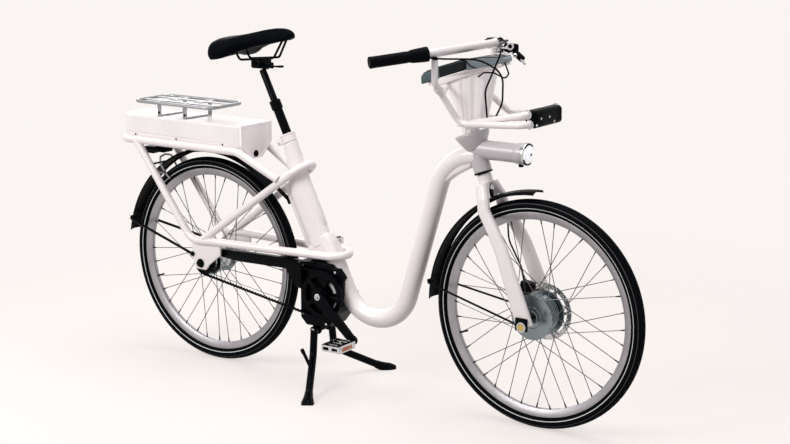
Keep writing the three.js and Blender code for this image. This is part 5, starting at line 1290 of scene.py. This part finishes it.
print("front tread blocks", tyre("front_tyre_round", FRONT_AXLE, "front_wheel", "tyre_rubber_front",
                                 "front_tyre"))
print("rear tread blocks", tyre("rear_tyre_round", REAR_AXLE, "rear_wheel", "tyre_rubber_rear",
                                "rear_tyre"))

# %% Rims, spokes and nipples
RIM = [(278.8, 9.8), (285.4, 9.9), (286, 11), (285.6, 12.7), (284.6, 13), (281, 12.6), (276, 11.4),
       (269, 8.6), (265, 6.4), (264, 4.2), (264, -4.2), (265, -6.4), (269, -8.6), (276, -11.4),
       (281, -12.6), (284.6, -13), (285.6, -12.7), (286, -11), (285.4, -9.9), (278.8, -9.8), (277.6, 0)]
WHEELS = {"front": {"axle": FRONT_AXLE, "body": "front_wheel", "flange": 63, "bore": 31, "right": 34,
                    "left": 32, "cross": 2}, "rear": {"axle": REAR_AXLE, "body": "rear_wheel", "flange": 45,
                                                      "bore": 31, "right": 32, "left": 36, "cross": 3},}


def thin_rod(name, start, end, radius, sides=8, end_radius=None):
    span = end - start
    deselect()
    bpy.ops.mesh.primitive_cone_add(vertices=sides, radius1=radius / 1000,
                                    radius2=(end_radius or radius) / 1000, depth=span.length,
                                    location=(0, 0, 0))
    rod = bpy.context.object
    rod.name = name
    turn = Vector((0, 0, 1)).rotation_difference(span.normalized()).to_matrix().to_4x4()
    rod.data.transform(Matrix.Translation((start + end) / 2) @ turn)
    return rod


def spoke_side(end, side):
    wheel = WHEELS[end]
    axle, flange_y = wheel["axle"], wheel["left" if side > 0 else "right"]
    spokes, nipples = [], []
    for i in range(18):
        lean = -1 if i % 2 else 1
        hub_angle = i * 20 + (10 if side > 0 else 0)
        rim_angle = hub_angle + lean * wheel["cross"] * 20
        hook = on_circle(axle, wheel["flange"] - 2, hub_angle, side * flange_y + lean * 1.1)
        seat = on_circle(axle, 263.6, rim_angle, side * 3.25 + lean * 1.1)
        way = (seat - hook).normalized()
        spokes.append(thin_rod("spoke", hook, seat, 1.15))
        nipples.append(thin_rod("nipple", seat - way * 0.013, seat + way * 0.0005, 1.5, 8, 2.3))
        spokes.append(thin_rod("head", hook - Vector((0, lean * 0.0016, 0)),
                               hook + Vector((0, lean * 0.0016, 0)), 1.9, 10, 1.4))
    return weld(*spokes), weld(*nipples)


for end, wheel in WHEELS.items():
    axle, body = wheel["axle"], wheel["body"]
    rim = turned(end + "_rim", RIM, axle, LEFT, 120, True, 30)
    valve = thin_rod("valve", on_circle(axle, 266, 200), on_circle(axle, 238, 200), 3.0, 14, 2.4)
    hand_over(rim, end + "_rim_round", body, "silver_metal", "rim_metal", end + "_rim")
    hand_over(smooth(valve), end + "_valve", body, "black_plastic", "black_plastic")
    for side, word in ((-1, "right"), (1, "left")):
        spokes, nipples = spoke_side(end, side)
        wide, bore, y = wheel["flange"], wheel["bore"], wheel[word] * side
        flange = turned("flange", [(bore, -2), (wide - 0.8, -2.0), (wide, -1.2), (wide, 1.2),
                                   (wide - 0.8, 2), (wide - 9, 2.2), (bore + 6, 1.5), (bore, 1.5)],
                                   axle + Vector((0, y / 1000, 0)), LEFT, 72, True)
        hand_over(smooth(flange), "%s_flange_%s" % (end, word), body, "bright_steel", "motor_metal")
        hand_over(smooth(spokes), "%s_spoke_set_%s" % (end, word), body, "bright_steel", "spoke_steel",
                  "%s_spokes_%s" % (end, word))
        hand_over(smooth(nipples), "%s_nipples_%s" % (end, word), body, "bright_steel", "black_metal")

# %% [markdown]
# The front hub holds the motor. Its drum has turned ribs, so the profile goes in and out along its width,
# and the end face is dished. On the left of it is the brake disc, whose holes let the dust out.

# %% Hub motor, rear hub and brake disc
ribs = []
for k in range(7):
    y = -24 + k * 8
    ribs += [(48.6, y - 2.6), (51.6, y - 1.6), (52, y - 0.6), (52, y + 0.6), (51.6, y + 1.6),
             (48.6, y + 2.6)]
drum = [(6, -41), (19, -41), (20, -40), (20, -37.4), (29, -37), (30, -36), (30, -32.4), (45, -31.4),
        (48.4, -30)]
drum += ribs + [(48.4, 28.6), (45, 29.6), (30, 31), (30, 40.2), (29, 41), (6, 41)]
motor = turned("motor", drum, FRONT_AXLE, LEFT, 96, True, 30)
hand_over(motor, "motor_drum", "front_wheel", "silver_metal", "motor_metal", "front_hub_motor")
for i in range(6):
    angle = 30 + 60 * i
    screw("motor_screw_%d" % i, on_circle(FRONT_AXLE, 39, angle, -31.9), (0, -1, 0), 2.6, "bright_steel",
          "front_wheel", "bright_steel", 1.6)
shell = turned("shell", [(6, -44.8), (20, -44.8), (27, -40), (30, -36), (30, -29), (24, -25), (22, -18),
                         (22, 22), (25, 28), (30, 32), (30, 44), (26, 52), (17, 58), (16, 65.4), (6, 65.4)],
                         REAR_AXLE, LEFT, 72, True, 30)
hand_over(shell, "rear_hub_shell", "rear_wheel", "silver_metal", "silver_metal", "rear_hub")
sprocket = round_edges(copy_of("rear_sprocket"), 0.5, 2, 40)
hand_over(sprocket, "rear_sprocket_cut", "rear_pulley", "black_metal", "black_metal", "rear_sprocket")

disc = turned("disc", [(66, 41.4), (79.6, 41.4), (80, 41.8), (80, 43.2), (79.6, 43.6), (66, 43.6)],
              FRONT_AXLE, LEFT, 120, True)
hub_ring = turned("hub_ring", [(17, 41.3), (31, 41.3), (32, 41.8), (32, 43.2), (31, 43.7), (17, 43.7)],
                  FRONT_AXLE, LEFT, 60, True)
drill = []
for i in range(36):
    for reach, shift in ((69.6, 0), (73.2, 3.3), (76.8, 6.6)):
        if (i + int(reach)) % 3 == 0:
            continue
        drill.append(thin_rod("bit", on_circle(FRONT_AXLE, reach, i * 10 + shift, 38),
                              on_circle(FRONT_AXLE, reach, i * 10 + shift, 47), 1.5, 8))
disc = cut_away(disc, weld(*drill))
arms = []
for i in range(6):
    arm = slab("arm", Vector((0, 0, 0)), (40, 2.3, 8), 0.5, 2)
    arm.data.transform(Matrix.Translation(FRONT_AXLE
                                          + Vector((0, 0.0425, 0))) @ Matrix.Rotation(math.radians(60 * i),
                                                  4,
                                                  "Y") @ Matrix.Translation((0.049, 0,
                                                          0)) @ Matrix.Rotation(math.radians(-14), 4, "Y"))
    arms.append(arm)
hand_over(smooth(weld(disc, hub_ring, *arms)), "brake_disc", "front_wheel", "bright_steel", "bright_steel",
          "front_brake_rotor")

# %% Axles, nuts and the torque plate
def hex_nut(spot, way, across, length):
    """Six flats with a washer under them and a domed end."""
    washer = turned("washer", [(5, 0), (13.4, 0), (14, 0.4), (14, 1.6), (13.4, 2), (5, 2)], spot, way, 36,
                    True)
    nut = turned("nut", [(5, 1.8), (across * 0.94, 1.8), (across, 2.8), (across, length * 0.72),
                         (across * 0.94, length * 0.84), (5, length * 0.84)], spot, way, 6, True)
    end = turned("end", [(0, 1), (5.4, 1), (5.4, length - 1), (4.4, length), (0, length)], spot, way, 24)
    return [washer, smooth(nut, 20), end]


rear_parts = [turned("axle", [(0, -66), (5.5, -66), (5.5, 66), (0, 66)], REAR_AXLE, LEFT, 20)]
front_parts = [turned("axle", [(0, -87), (5.5, -87), (5.5, 87), (0, 87)], FRONT_AXLE, LEFT, 20)]
for side in (-1, 1):
    rear_parts += hex_nut(REAR_AXLE + Vector((0, side * 0.0761, 0)), (0, side, 0), 11.5, 10)
hand_over(weld(*rear_parts), "rear_axle_nuts", "frame", "black_metal", "black_metal", "rear_axle")
front_parts += hex_nut(FRONT_AXLE + Vector((0, 0.086, 0)), (0, 1, 0), 12, 10)
front_parts.append(plate("torque", [(1127, 294), (1165, 294), (1165, 330), (1127, 330)], -90, -86, 1.2, 3))
hand_over(weld(*front_parts), "front_axle_plate", "steering", "black_metal", "black_metal", "front_axle")
collar_nut = turned("collar_nut", [(7, 0), (13, 0), (14, 0.9), (14, 4.4), (12.6, 5.6), (9.4, 5.6),
                                   (8.6, 4.6), (7, 4.6)], FRONT_AXLE + Vector((0.001, -0.0899, -0.014)),
                                   (0, -1, 0), 40, True)
hand_over(collar_nut, "front_nut_collar", "steering", "bright_steel")
gold = turned("gold", [(0, 0), (9, 0), (9, 4.2), (8, 5.8), (5, 6), (0, 6)],
              FRONT_AXLE + Vector((0.001, -0.0899, -0.014)), (0, -1, 0), 36)
hand_over(gold, "front_axle_cap", "steering", "bright_steel", "brass_cap")

# %% [markdown]
# ## Stand, post and saddle
#
# The stand's legs are bent bars on flared feet, which the ground cuts flat. The saddle is the one padded
# piece. Its solid is skinned evenly, blown up a little as cloth under pressure, and then smoothed and
# subdivided.

# %% Twin-leg stand
PIVOT = at(412, 0, 166)
stand = [turned("shaft", [(0, -48), (8.4, -48), (9, -47.4), (9, 47.4), (8.4, 48), (0, 48)], PIVOT, LEFT,
                32)]
for side in (-1, 1):
    foot = Vector((508, side * 202, 0))
    knee = Vector((414, side * 52, 90))
    way = (foot - knee).normalized()
    end = foot + way * 16
    leg = [(412, side * 43, 166, 0), (*knee, 30), (*end, 0)]
    stand.append(round_tube("leg", bent_line(leg, 10), 11, 28))
    stand.append(turned("eye", [(0, 0), (11, 0), (12, 0.9), (12, 9.6), (11, 10.5), (0, 10.5)],
                        PIVOT + Vector((0, side * 0.0375, 0)), (0, side, 0), 32))
    sleeve = turned("sleeve", [(0, 0), (11.2, 0), (12.4, 1.4), (13.2, 14), (16, 30), (19.4, 44), (19.6, 62),
                               (0, 62)], at(*(foot - way * 44)), way, 36)
    open_mesh(sleeve)
    bpy.ops.mesh.select_all(action="SELECT")
    bpy.ops.mesh.bisect(plane_co=(0, 0, 0.0004), plane_no=(0, 0, 1), use_fill=True, clear_inner=True)
    close_mesh()
    stand.append(round_edges(sleeve, 0.8, 2, 50))
    if side < 0:
        root = knee.lerp(foot, 0.3)
        tang_line = [at(*root), at(*(root + Vector((-20, -11, 50)))), at(*(root + Vector((-25, -14, 62))))]
        stand.append(round_tube("tang", tang_line, 5, 20, [1, 1, 0.98]))
        tip = turned("tip", [(0, 0), (5, 0.4), (6, 2), (6, 13), (5, 14.6), (0, 15)],
                     at(*(root + Vector((-19.4, -10.8, 48)))), (-25, -14, 62), 24)
        hand_over(tip, "stand_tang_tip", "stand", "black_metal", "grip_rubber")
for piece in stand:
    open_mesh(piece)
    bpy.ops.mesh.select_all(action="SELECT")
    bpy.ops.mesh.bisect(plane_co=(0, 0, 0.0002), plane_no=(0, 0, 1), use_fill=True, clear_inner=True)
    close_mesh()
hand_over(smooth(weld(*stand)), "stand_legs", "stand", "black_metal", "black_metal", "center_stand")
for side, word in ((-1, "right"), (1, "left")):
    cap = turned("cap", [(0, 0), (5.2, 0), (6, 0.7), (6, 2.6), (5.2, 3.4), (0, 3.4)],
                 PIVOT + Vector((0, side * 0.0478, 0)), (0, side, 0), 24)
    hand_over(cap, "stand_pin_" + word, "stand", "black_metal", "bright_steel")

# %% Seat post and clamp
lower = turned("lower", [(11, -130), (13.6, -130), (13.6, 80), (16.2, 80), (17, 80.9), (17, 94.2),
                         (16.4, 94.8), (16.4, 95.8), (17, 96.4), (17, 105.8), (16, 107), (11, 107)],
                         seat_point(0), SEAT_UP, 56, True)
hand_over(lower, "post_lower_tube", "post_lower", "black_metal", "black_metal", "seatpost_lower")
upper = turned("upper", [(0, -13), (10.6, -13), (10.6, 204), (9.6, 206), (0, 206)], seat_point(0), SEAT_UP,
               48)
head = slab("head", at(192, 0, 942), (34, 60, 26), 5, 4)
top_plate = slab("top_plate", at(192, 0, 953.2), (30, 58, 4.6), 1.4, 3)
rails = []
for side in (-1, 1):
    path = [(-80, 24, 34, 0), (-62, 24, 8, 14), (58, 13, 20, 14), (94, 9, 82, 0)]
    rails.append(round_tube("rail", bent_line([(192 + x, side * y, 942 + z, bend) for x, y, z,
                                               bend in path], 8), 3.5, 16))
    rails.append(slab("lug", at(192 + 18.5, side * 11, 936), (37, 4, 18), 1.2, 2))
pin = turned("pin", [(0, -13), (3, -13), (3, 13), (0, 13)], at(220, 0, 936), LEFT, 20)
hand_over(smooth(weld(upper, head, top_plate, *rails, pin)), "post_upper_clamp", "post_upper",
          "black_metal", "black_metal", "seatpost_upper")
for side, word in ((-1, "right"), (1, "left")):
    bolt = turned("bolt", [(0, 0), (7, 0), (8, 0.8), (8, 4.6), (7, 5.6), (3.6, 5.6), (3.2, 3), (0, 3)],
                  at(190, side * 29.6, 946), (0, side, 0), 28)
    hand_over(bolt, "saddle_clamp_bolt_" + word, "post_upper", "black_metal", "black_metal")
lever = slab("lever", at(246, 0, 936), (52, 15.6, 4.6), 2, 3)
eye = turned("eye", [(0, -8.5), (6.2, -8.5), (7, -7.7), (7, 7.7), (6.2, 8.5), (0, 8.5)], at(220, 0, 936),
             LEFT, 32)
pad = slab("pad", at(264, 0, 938.4), (14, 15.8, 3), 1.2, 3)
hand_over(smooth(weld(lever, eye, pad)), "saddle_lever_blade", "post_lever", "black_plastic",
          "black_plastic", "saddle_lever")

# %% Saddle, blown up as cloth and smoothed
saddle = copy_of("saddle")
rub_down(saddle, 4.5, 3, 0.5)
before = [vertex.co.copy() for vertex in saddle.data.vertices]
take(saddle)
cloth = saddle.modifiers.new("padding", "CLOTH")
cloth.settings.use_pressure = True
cloth.settings.uniform_pressure_force = 4.0
cloth.settings.effector_weights.gravity = 0
cloth.settings.tension_stiffness = 25
cloth.settings.bending_stiffness = 2
for step in range(1, 21):
    scene.frame_set(step)
bpy.ops.object.modifier_apply(modifier="padding")
scene.frame_set(1)
low_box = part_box("saddle")[0]
for vertex, was in zip(saddle.data.vertices, before):
    move = vertex.co - was
    if was.z < low_box[2] + 0.022 or move.length == 0:
        move *= 0.35
    cap = 0.005
    if move.length > cap:
        move *= cap / move.length
    vertex.co = was + move
rub = saddle.modifiers.new("rub", "SMOOTH")
rub.factor = 0.5
rub.iterations = 6
bpy.ops.object.modifier_apply(modifier="rub")
finer = saddle.modifiers.new("finer", "SUBSURF")
finer.levels = finer.render_levels = 1
bpy.ops.object.modifier_apply(modifier="finer")
hand_over(smooth(saddle, 60), "saddle_padded", "post_upper", "saddle_skin", "saddle_skin", "saddle")
print("saddle", [round(d * 1000) for d in saddle.dimensions], "mm", len(saddle.data.polygons), "faces")

# %% [markdown]
# ## Steering
#
# The fork and the cowl are castings with soft edges. Their measured solids are right in size but faceted,
# so a copy is skinned with small even faces and rubbed down. The bar and the docking tubes are bent tube,
# made as the frame.

# %% Fork and cowl
fork = soft_casting("fork", 2.0, 10)
hand_over(fork, "fork_cast", "steering", "white_paint", "white_paint", "fork")
cowl = soft_casting("cowl", 1.8, 8)
hand_over(cowl, "cowl_shell", "steering", "white_paint", "cowl_paint_painted_glow", "cowl")
print("fork and cowl", len(fork.data.polygons), len(cowl.data.polygons), "faces")

# %% Handlebar
GRIP_IN, GRIP_OUT = Vector((900, -175, 1030)), Vector((799, -300, 1012))
GRIP_WAY = (GRIP_OUT - GRIP_IN).normalized()
GRIP_LONG = (GRIP_OUT - GRIP_IN).length


def grip_point(reach, side=-1):
    """A place along the grip's axis, in metres, on the right or the left of the bicycle."""
    x, y, z = GRIP_IN + GRIP_WAY * reach
    return at(x, -y * side, z)


def grip_way(side=-1):
    return Vector((GRIP_WAY.x, -GRIP_WAY.y * side, GRIP_WAY.z))


corner = GRIP_IN - GRIP_WAY * 12.8
outer = GRIP_IN + GRIP_WAY * (GRIP_LONG - 4)
bar = round_tube("bar", bent_line(both_sides([(*outer, 0), (*corner, 25)]), 12), 11.5, 36)
hand_over(bar, "handlebar_tube", "steering", "white_paint", "white_paint", "handlebar")

# %% Grips and twist shifter
def grip(side, start, name, node):
    """A rubber sleeve with a collar at its inner end, fine rings along it and a closed end."""
    long = GRIP_LONG - start
    profile = [(12, 0), (15.4, 0), (16, 0.6), (16, 3.6), (15, 4.4)]
    reach = 8.0
    while reach < long - 12:
        profile += [(15.0, reach), (15.0, reach + 2.0), (15.8, reach + 2.6), (15.8, reach + 4.6)]
        reach += 5.4
    profile += [(15.6, long - 7), (16, long - 6), (16, long - 2), (14.6, long), (0, long)]
    sleeve = turned(name, profile, grip_point(start, side), grip_way(side), 56, False, 30)
    return hand_over(sleeve, name, "steering", "grip_rubber", "grip_rubber", node)


grip(-1, 48.5, "grip_right_sleeve", "grip_right")
grip(1, 8, "grip_left_sleeve", "grip_left")
shifter = turned("shifter", [(12.1, 0.4), (19.2, 0.4), (20, 1.4), (20, 12.5), (19.4, 13.2), (18.6, 13.2),
                             (18.6, 14.2), (19.4, 14.2), (19.6, 16), (18.4, 36), (17.4, 46.6), (16.4, 47.9),
                             (12.1, 47.9)], grip_point(0), grip_way(), 64, True)
open_mesh(shifter)
close_mesh()


def finger_rib(centre, normal):
    off = centre - grip_point(0)
    reach = off.dot(grip_way()) * 1000
    if not 17 < reach < 45:
        return False
    out = off - grip_way() * off.dot(grip_way())
    side_axis = grip_way().cross(Vector((0, 0, 1))).normalized()
    top_axis = side_axis.cross(grip_way())
    turn = int((math.degrees(math.atan2(out.dot(top_axis), out.dot(side_axis))) % 360) / 11.25)
    return turn % 2 == 0


ribs = choose(shifter, finger_rib)
bpy.ops.mesh.inset(use_individual=False, thickness=0.0006, depth=0)
bpy.ops.mesh.extrude_region_shrink_fatten(TRANSFORM_OT_shrink_fatten={"value": -0.0006})
close_mesh()
hand_over(smooth(shifter), "twist_shifter_sleeve", "shifter", "grip_rubber", "grip_rubber", "twist_shifter")
print("grips and shifter, rib faces", ribs)

# %% Brake clamp and lever
BAR_Z = corner.z
ring = turned("ring", [(11.9, 159.6), (16.2, 159.6), (17, 160.4), (17, 169.2), (16.2, 170), (11.9, 170)],
              at(908, 0, BAR_Z), LEFT, 48, True)
EYE = Vector((943, 165, BAR_Z - 19.4))
post = slab("post", at(919.75, 162, EYE.z), (10.5, 24, 17), 1.6, 3)
lugs = [slab("lug", at(932.75, 162, EYE.z + dz), (36.5, 24, 4), 1.4, 3) for dz in (-6.5, 6.5)]
pin = turned("pin", [(0, -8.5), (3, -8.5), (3, 8.5), (0, 8.5)], at(*EYE), (0, 0, 1), 20)
hand_over(smooth(weld(ring, post, *lugs, pin)), "brake_clamp_cast", "steering", "silver_metal",
          "silver_metal", "brake_clamp")
bolt = turned("bolt", [(0, 0), (6, 0), (7, 0.8), (7, 3.4), (6, 4.2), (3.4, 4.2), (3, 2), (0, 2)],
              at(943, 158, EYE.z + 8.2), (0, 0, 1), 32)
hand_over(bolt, "brake_clamp_bolt", "steering", "silver_metal", "bright_steel")
cap_bolt = turned("cap_bolt", [(0, 0), (9.6, 0), (11, 1.2), (11, 3.8), (9.8, 5), (6.6, 5), (6.2, 3.4),
                               (0, 3.4)], at(960, 148.8, 1025), (0.15, -1, 0.12), 40)
hand_over(cap_bolt, "brake_cap_bolt", "steering", "silver_metal", "rim_metal")
bolt_core = turned("bolt_core", [(0, 0), (4.6, 0), (5.2, 0.6), (5.2, 1.4), (4.4, 2), (0, 2)],
                   at(960.5, 145.2, 1025.4), (0.15, -1, 0.12), 32)
hand_over(bolt_core, "brake_bolt_core", "steering", "black_plastic")
brake_case = slab("brake_case", at(954, 162, 1020), (44, 18, 24), 7, 5)
brake_foot = slab("brake_foot", at(979, 161, 999), (38, 18, 17), 6, 5, -36)
hand_over(weld(brake_case, brake_foot), "brake_case", "steering", "black_plastic")
pivot_ring = turned("pivot_ring", [(2.6, 0), (5.6, 0), (6, 0.6), (6, 1.8), (5.2, 2.4), (2.6, 2.4)],
                    at(974, 151.4, 1001), (0.1, -1, 0.1), 28, True)
hand_over(pivot_ring, "brake_pivot_ring", "steering", "silver_metal", "bright_steel")
hook_line = bent_line([(909, 158, 1040, 0), (922, 158, 1046, 8), (934, 158, 1037, 8), (944, 158, 1026, 0)],
                      8)
hook = round_tube("hook", hook_line, 2.8, 18)
hook_arm = round_tube("hook_arm", bent_line([(943, 158, 1028, 0), (930, 158, 1018, 8), (926, 157, 1006, 0)],
                                            8), 3.4, 18)
hand_over(smooth(weld(hook, hook_arm)), "brake_hook", "steering", "black_plastic")
tab = round_tube("tab", bent_line([(986, 156, 993, 0), (994, 155, 987, 10), (1004, 154, 978, 0)], 8), 3.6,
                 18)
hand_over(tab, "brake_tab", "steering", "silver_metal", "rim_metal")
path = bent_line([(*EYE, 0), (EYE.x - 17, EYE.y + 35, EYE.z, 40), (EYE.x - 65, EYE.y + 117, EYE.z - 18, 0)],
                 12)
far = path[-1]
blade = round_tube("blade", path, 4.4, 24)
flat = 0.82
for vertex in blade.data.vertices:
    nearest = min(path, key=lambda spot: (spot - vertex.co).length)
    vertex.co.z = nearest.z + (vertex.co.z - nearest.z) * flat
ball = turned("ball", [(0, -4.4), (2.4, -4), (4, -2.4), (4.4, 0), (4, 2.4), (2.4, 4), (0, 4.4)], far,
              path[-1] - path[-2], 24)
eye_disc = turned("eye", [(3.4, -4), (7.2, -4), (8, -3.2), (8, 3.2), (7.2, 4), (3.4, 4)], at(*EYE),
                  (0, 0, 1), 40, True)
hand_over(smooth(weld(blade, ball, eye_disc)), "brake_lever_blade", "lever", "silver_metal", "silver_metal",
          "brake_lever")

# %% Docking tubes and the block that they carry
lower_line = both_sides([(905, -150, 1018.2, 0), (905, -150, 950, 22), (897, -100, 912, 25),
                         (930, -62, 832, 35), (1153, -100, 852, 24)])
lower_tube = round_tube("lower_tube", bent_line(lower_line, 10), 9, 28)
hand_over(lower_tube, "docking_lower_round", "steering", "white_paint", "white_paint", "docking_tube_lower")
upper_line = [(950, -42, 834, 0), (1148, -92, 878, 22), (1148, 92, 878, 22), (1000, 92, 848, 40),
              (897, 62, 938, 0)]
upper_tube = round_tube("upper_tube", bent_line(upper_line, 10), 9, 28)
hand_over(upper_tube, "docking_upper_round", "steering", "white_paint", "white_paint", "docking_tube_upper")
block = slab("block", at(1153, 0, 865), (36, 148, 48), 12, 6)
for k in range(6):
    for side in (-1, 1):
        groove = slab("groove", at(1172, side * (40 + k * 5.6), 865), (6, 2.2, 40), 0.6, 1)
        cut_away(block, groove)
hand_over(block, "docking_block_shell", "steering", "black_plastic", "black_plastic", "docking_block")
for i, (y, z) in enumerate(((-46, 866), (-2, 866), (-68, 851), (24, 851))):
    screw("docking_screw_%d" % i, at(1170.9, y, z), (1, 0, 0), 3.4, "bright_steel", "steering",
          "bright_steel", 1.4)
for i, y in enumerate((-76.5, 76.5)):
    for word, z in (("low", 852), ("high", 878)):
        x = 1153 if word == "low" else 1146.5
        ring = turned("ring", [(9.1, -1), (12.2, -1), (12.8, -0.5), (12.8, 0.5), (12.2, 1), (9.1, 1)],
                      at(x, y, z), LEFT, 36, True)
        hand_over(ring, "docking_ring_%s_%d" % (word, i), "steering", "bright_steel", "bright_steel")
for i, side in enumerate((-1, 1)):
    sleeve_way = Vector((8, side * -50, -38))
    sleeve = turned("sleeve", [(9.1, -9), (11.6, -9), (12.2, -8.4), (12.2, 8.4), (11.6, 9), (9.1, 9)],
                    at(901, side * 125, 931), sleeve_way, 40, True)
    hand_over(sleeve, "docking_sleeve_%d" % i, "steering", "white_paint", "white_paint")
    cowl_bolt = turned("cowl_bolt", [(0, -4), (7, -4), (7.6, -3.2), (7.6, 2.6), (6.8, 3.4), (4.4, 3.4),
                                     (4, 2), (0, 2)], at(871, side * 42, 944), (-0.5, side, 0.1), 32)
    hand_over(cowl_bolt, "cowl_bolt_%d" % i, "steering", "black_metal", "black_metal")
    arm_line = bent_line([(897, side * 100, 914, 0), (884, side * 62, 929, 20), (878, side * 36, 934, 0)],
                         8)
    cowl_arm = round_tube("cowl_arm", arm_line, 7.5, 24)
    hand_over(cowl_arm, "cowl_arm_%d" % i, "steering", "white_paint", "white_paint")
plate_piece = slab("plate_piece", at(935, 0, 829), (44, 105, 12), 3, 4)
hand_over(plate_piece, "cowl_plate", "steering", "white_paint")

# %% [markdown]
# The display is a wedge of two shells over a pale tray. Its outline is the drawing's, cut into layers, so
# that the dark glass behind and the grey shell in front keep one line from the side.

# %% Display
def nose(obj, start=940.0, stop=1044.0, left_over=0.3):
    """Draws the plan in towards the front, along a soft curve, as the shells' nose is."""
    for vertex in obj.data.vertices:
        x = vertex.co.x * 1000 + 560.6545
        share = min(1.0, max(0.0, (x - start) / (stop - start)))
        vertex.co.y *= 1 - (1 - left_over) * share ** 1.8
    return smooth(obj)


tray = nose(plate("tray", [(850, 928.4), (960, 967.4), (1036, 993.4), (1033, 999), (944, 980), (858, 952)],
                  -57.4, 57.4, 1.6, 3))
hand_over(tray, "display_tray", "steering", "screen_body", "white_paint", "display")
front_line = [(945, 978), (960, 981.6), (1000, 991), (1031, 998), (1042.6, 1003), (1043.8, 1011),
              (1036, 1016.6), (990, 1014), (960, 1011.4), (944, 1008.4)]
front_shell = nose(plate("front_shell", front_line, -57.8, 57.8, 3.2, 4))
hand_over(front_shell, "display_front_shell", "steering", "screen_body", "screen_grey")
rear_shell = plate("rear_shell", [(799.5, 929.4), (861, 951.6), (915, 968.6), (947, 978.4), (946, 1009.4),
                                  (915, 1001.4), (858, 983.4), (807.5, 963.6), (797.6, 951)], -57.9, 57.9,
                                  5, 5)
hand_over(rear_shell, "display_rear_shell", "steering", "screen_body", "screen_gloss")
for i, side in enumerate((-1, 1)):
    low, high = sorted((side * 57.2, side * 58.2))
    panel = plate("panel", [(801.5, 932.4), (861, 953.4), (858, 978), (811, 961.2), (800.6, 950.6)], low,
                  high, 0.3, 2)
    hand_over(panel, "display_side_panel_%d" % i, "steering", "screen_body", "screen_edge")
rear_face = plate("rear_face", [(797.2, 949.6), (799.6, 931), (804, 933), (803, 951.4)], -50, 50, 1, 3)
hand_over(rear_face, "display_rear_face", "steering", "screen_body", "screen_edge")
top_line = nose(plate("top_line", [(905, 996.2), (931, 1004.0), (960, 1009.2), (990, 1012.8),
                                   (1036, 1015.6), (1036, 1017.8), (990, 1015.2), (960, 1011.6),
                                   (931, 1006.4), (905, 998.6)], -57.9, 57.9, 0.5, 2))
hand_over(top_line, "display_top_line", "steering", "screen_body", "screen_gloss")
glass_line = [(811, 965.2), (858, 983.0), (905, 997.4), (904.6, 998.8), (858, 984.4), (810.4, 966.6)]
pane = plate("pane", glass_line, -50, 50, 0.4, 2)
hand_over(pane, "display_glass", "steering", "screen_body", "screen_gloss")
under = turned("under", [(0, 0), (8, 0), (9, 1), (9, 9), (8, 10), (0, 10)], at(822, -40, 938), (0.3, 0, -1),
               32)
hand_over(under, "display_knob", "steering", "white_paint")
loop_line = bent_line([(975, -44, 962, 0), (1000, -56, 976, 10), (1026, -50, 977, 14), (1050, -30, 961, 8),
                       (1058, -24, 973, 8), (1038, -12, 1000, 0)], 8)
seam_line = bent_line([(944, -58.4, 1003, 0), (958, -58.4, 991, 14), (975, -56.6, 985, 0)], 8)
seam = round_tube("seam", seam_line, 1.5, 12)
hand_over(seam, "display_seam", "steering", "black_plastic")
short_lead = round_tube("short_lead", loop_line, 2.2, 14)
hand_over(short_lead, "display_lead", "steering", "black_plastic")

# %% Cables, caliper and stand-offs
shift_line = [(912, -182.2, 1021.02, 0), (930, -145, 1016, 60), (990, -65, 1012, 60), (1064, -64, 980, 45),
              (1062, -62, 900, 60), (1040, -64, 856, 0)]
shift = round_tube("shift", bent_line(shift_line, 14), 2.5, 16)
hand_over(shift, "shift_cable_round", "steering", "black_plastic", "black_plastic", "shift_cable")
brake_line = [(914, 165, 1037, 0), (975, 110, 1046, 40), (1012, 0, 1046, 50), (1062, -72, 1034, 20),
              (1042, -73, 990, 60), (1014, -73, 930, 60), (1013, -58, 852, 0)]
brake = round_tube("brake", bent_line(brake_line, 14), 2.5, 16)
hand_over(brake, "brake_hose_round", "steering", "black_plastic", "black_plastic", "brake_hose")
caliper = round_edges(copy_of("brake_caliper"), 1.4, 3, 45)
hose = round_tube("hose", bent_line([(1012, 60, 548, 0), (1016, 60, 500, 60), (1060, 56, 430, 60),
                                     (1072, 56, 388, 0)], 10), 2.5, 16)
hand_over(smooth(weld(caliper, hose)), "brake_caliper_cast", "steering", "black_metal", "black_metal",
          "brake_caliper")
barrel = turned("barrel", [(2.6, 0), (4.6, 0), (5, 0.5), (5, 9.5), (3.6, 12), (2.6, 13)],
                at(917, -176, 1020), (18, 37, -5), 24, True)
hand_over(barrel, "shift_cable_barrel", "steering", "black_plastic")

# %% [markdown]
# ## The rest keeps its measured shape
#
# A few nodes are already right: a brake hose clamp or a hub shell needs no new mesh. They keep their solids
# and get the finish that their slot in the record asks for.

# %% Finishes for the nodes that stay
SLOT_FINISH = {
    "white_paint": "white_paint", "box_shell": "box_shell", "shade_panel": "shade_panel",
    "black_plastic": "black_plastic", "black_metal": "black_metal", "grip_rubber": "grip_rubber",
    "tyre_rubber": "tyre_rubber_rear", "saddle_skin": "saddle_skin", "silver_metal": "silver_metal",
    "rack_metal": "rack_metal", "bright_steel": "bright_steel", "lamp_glass": "lamp_glass",
    "screen_body": "screen_grey", "belt_rubber": "belt_rubber",
}
kept = []
for name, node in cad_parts.items():
    if node.hide_render:
        continue
    kept.append(name)
    for socket in node.material_slots:
        wanted = SLOT_FINISH.get(socket.material.name.split(".")[0], "black_plastic")
        if name == "front_tyre":
            wanted = "tyre_rubber_front"
        socket.material = FINISHES[wanted]
print("kept as measured:", kept)
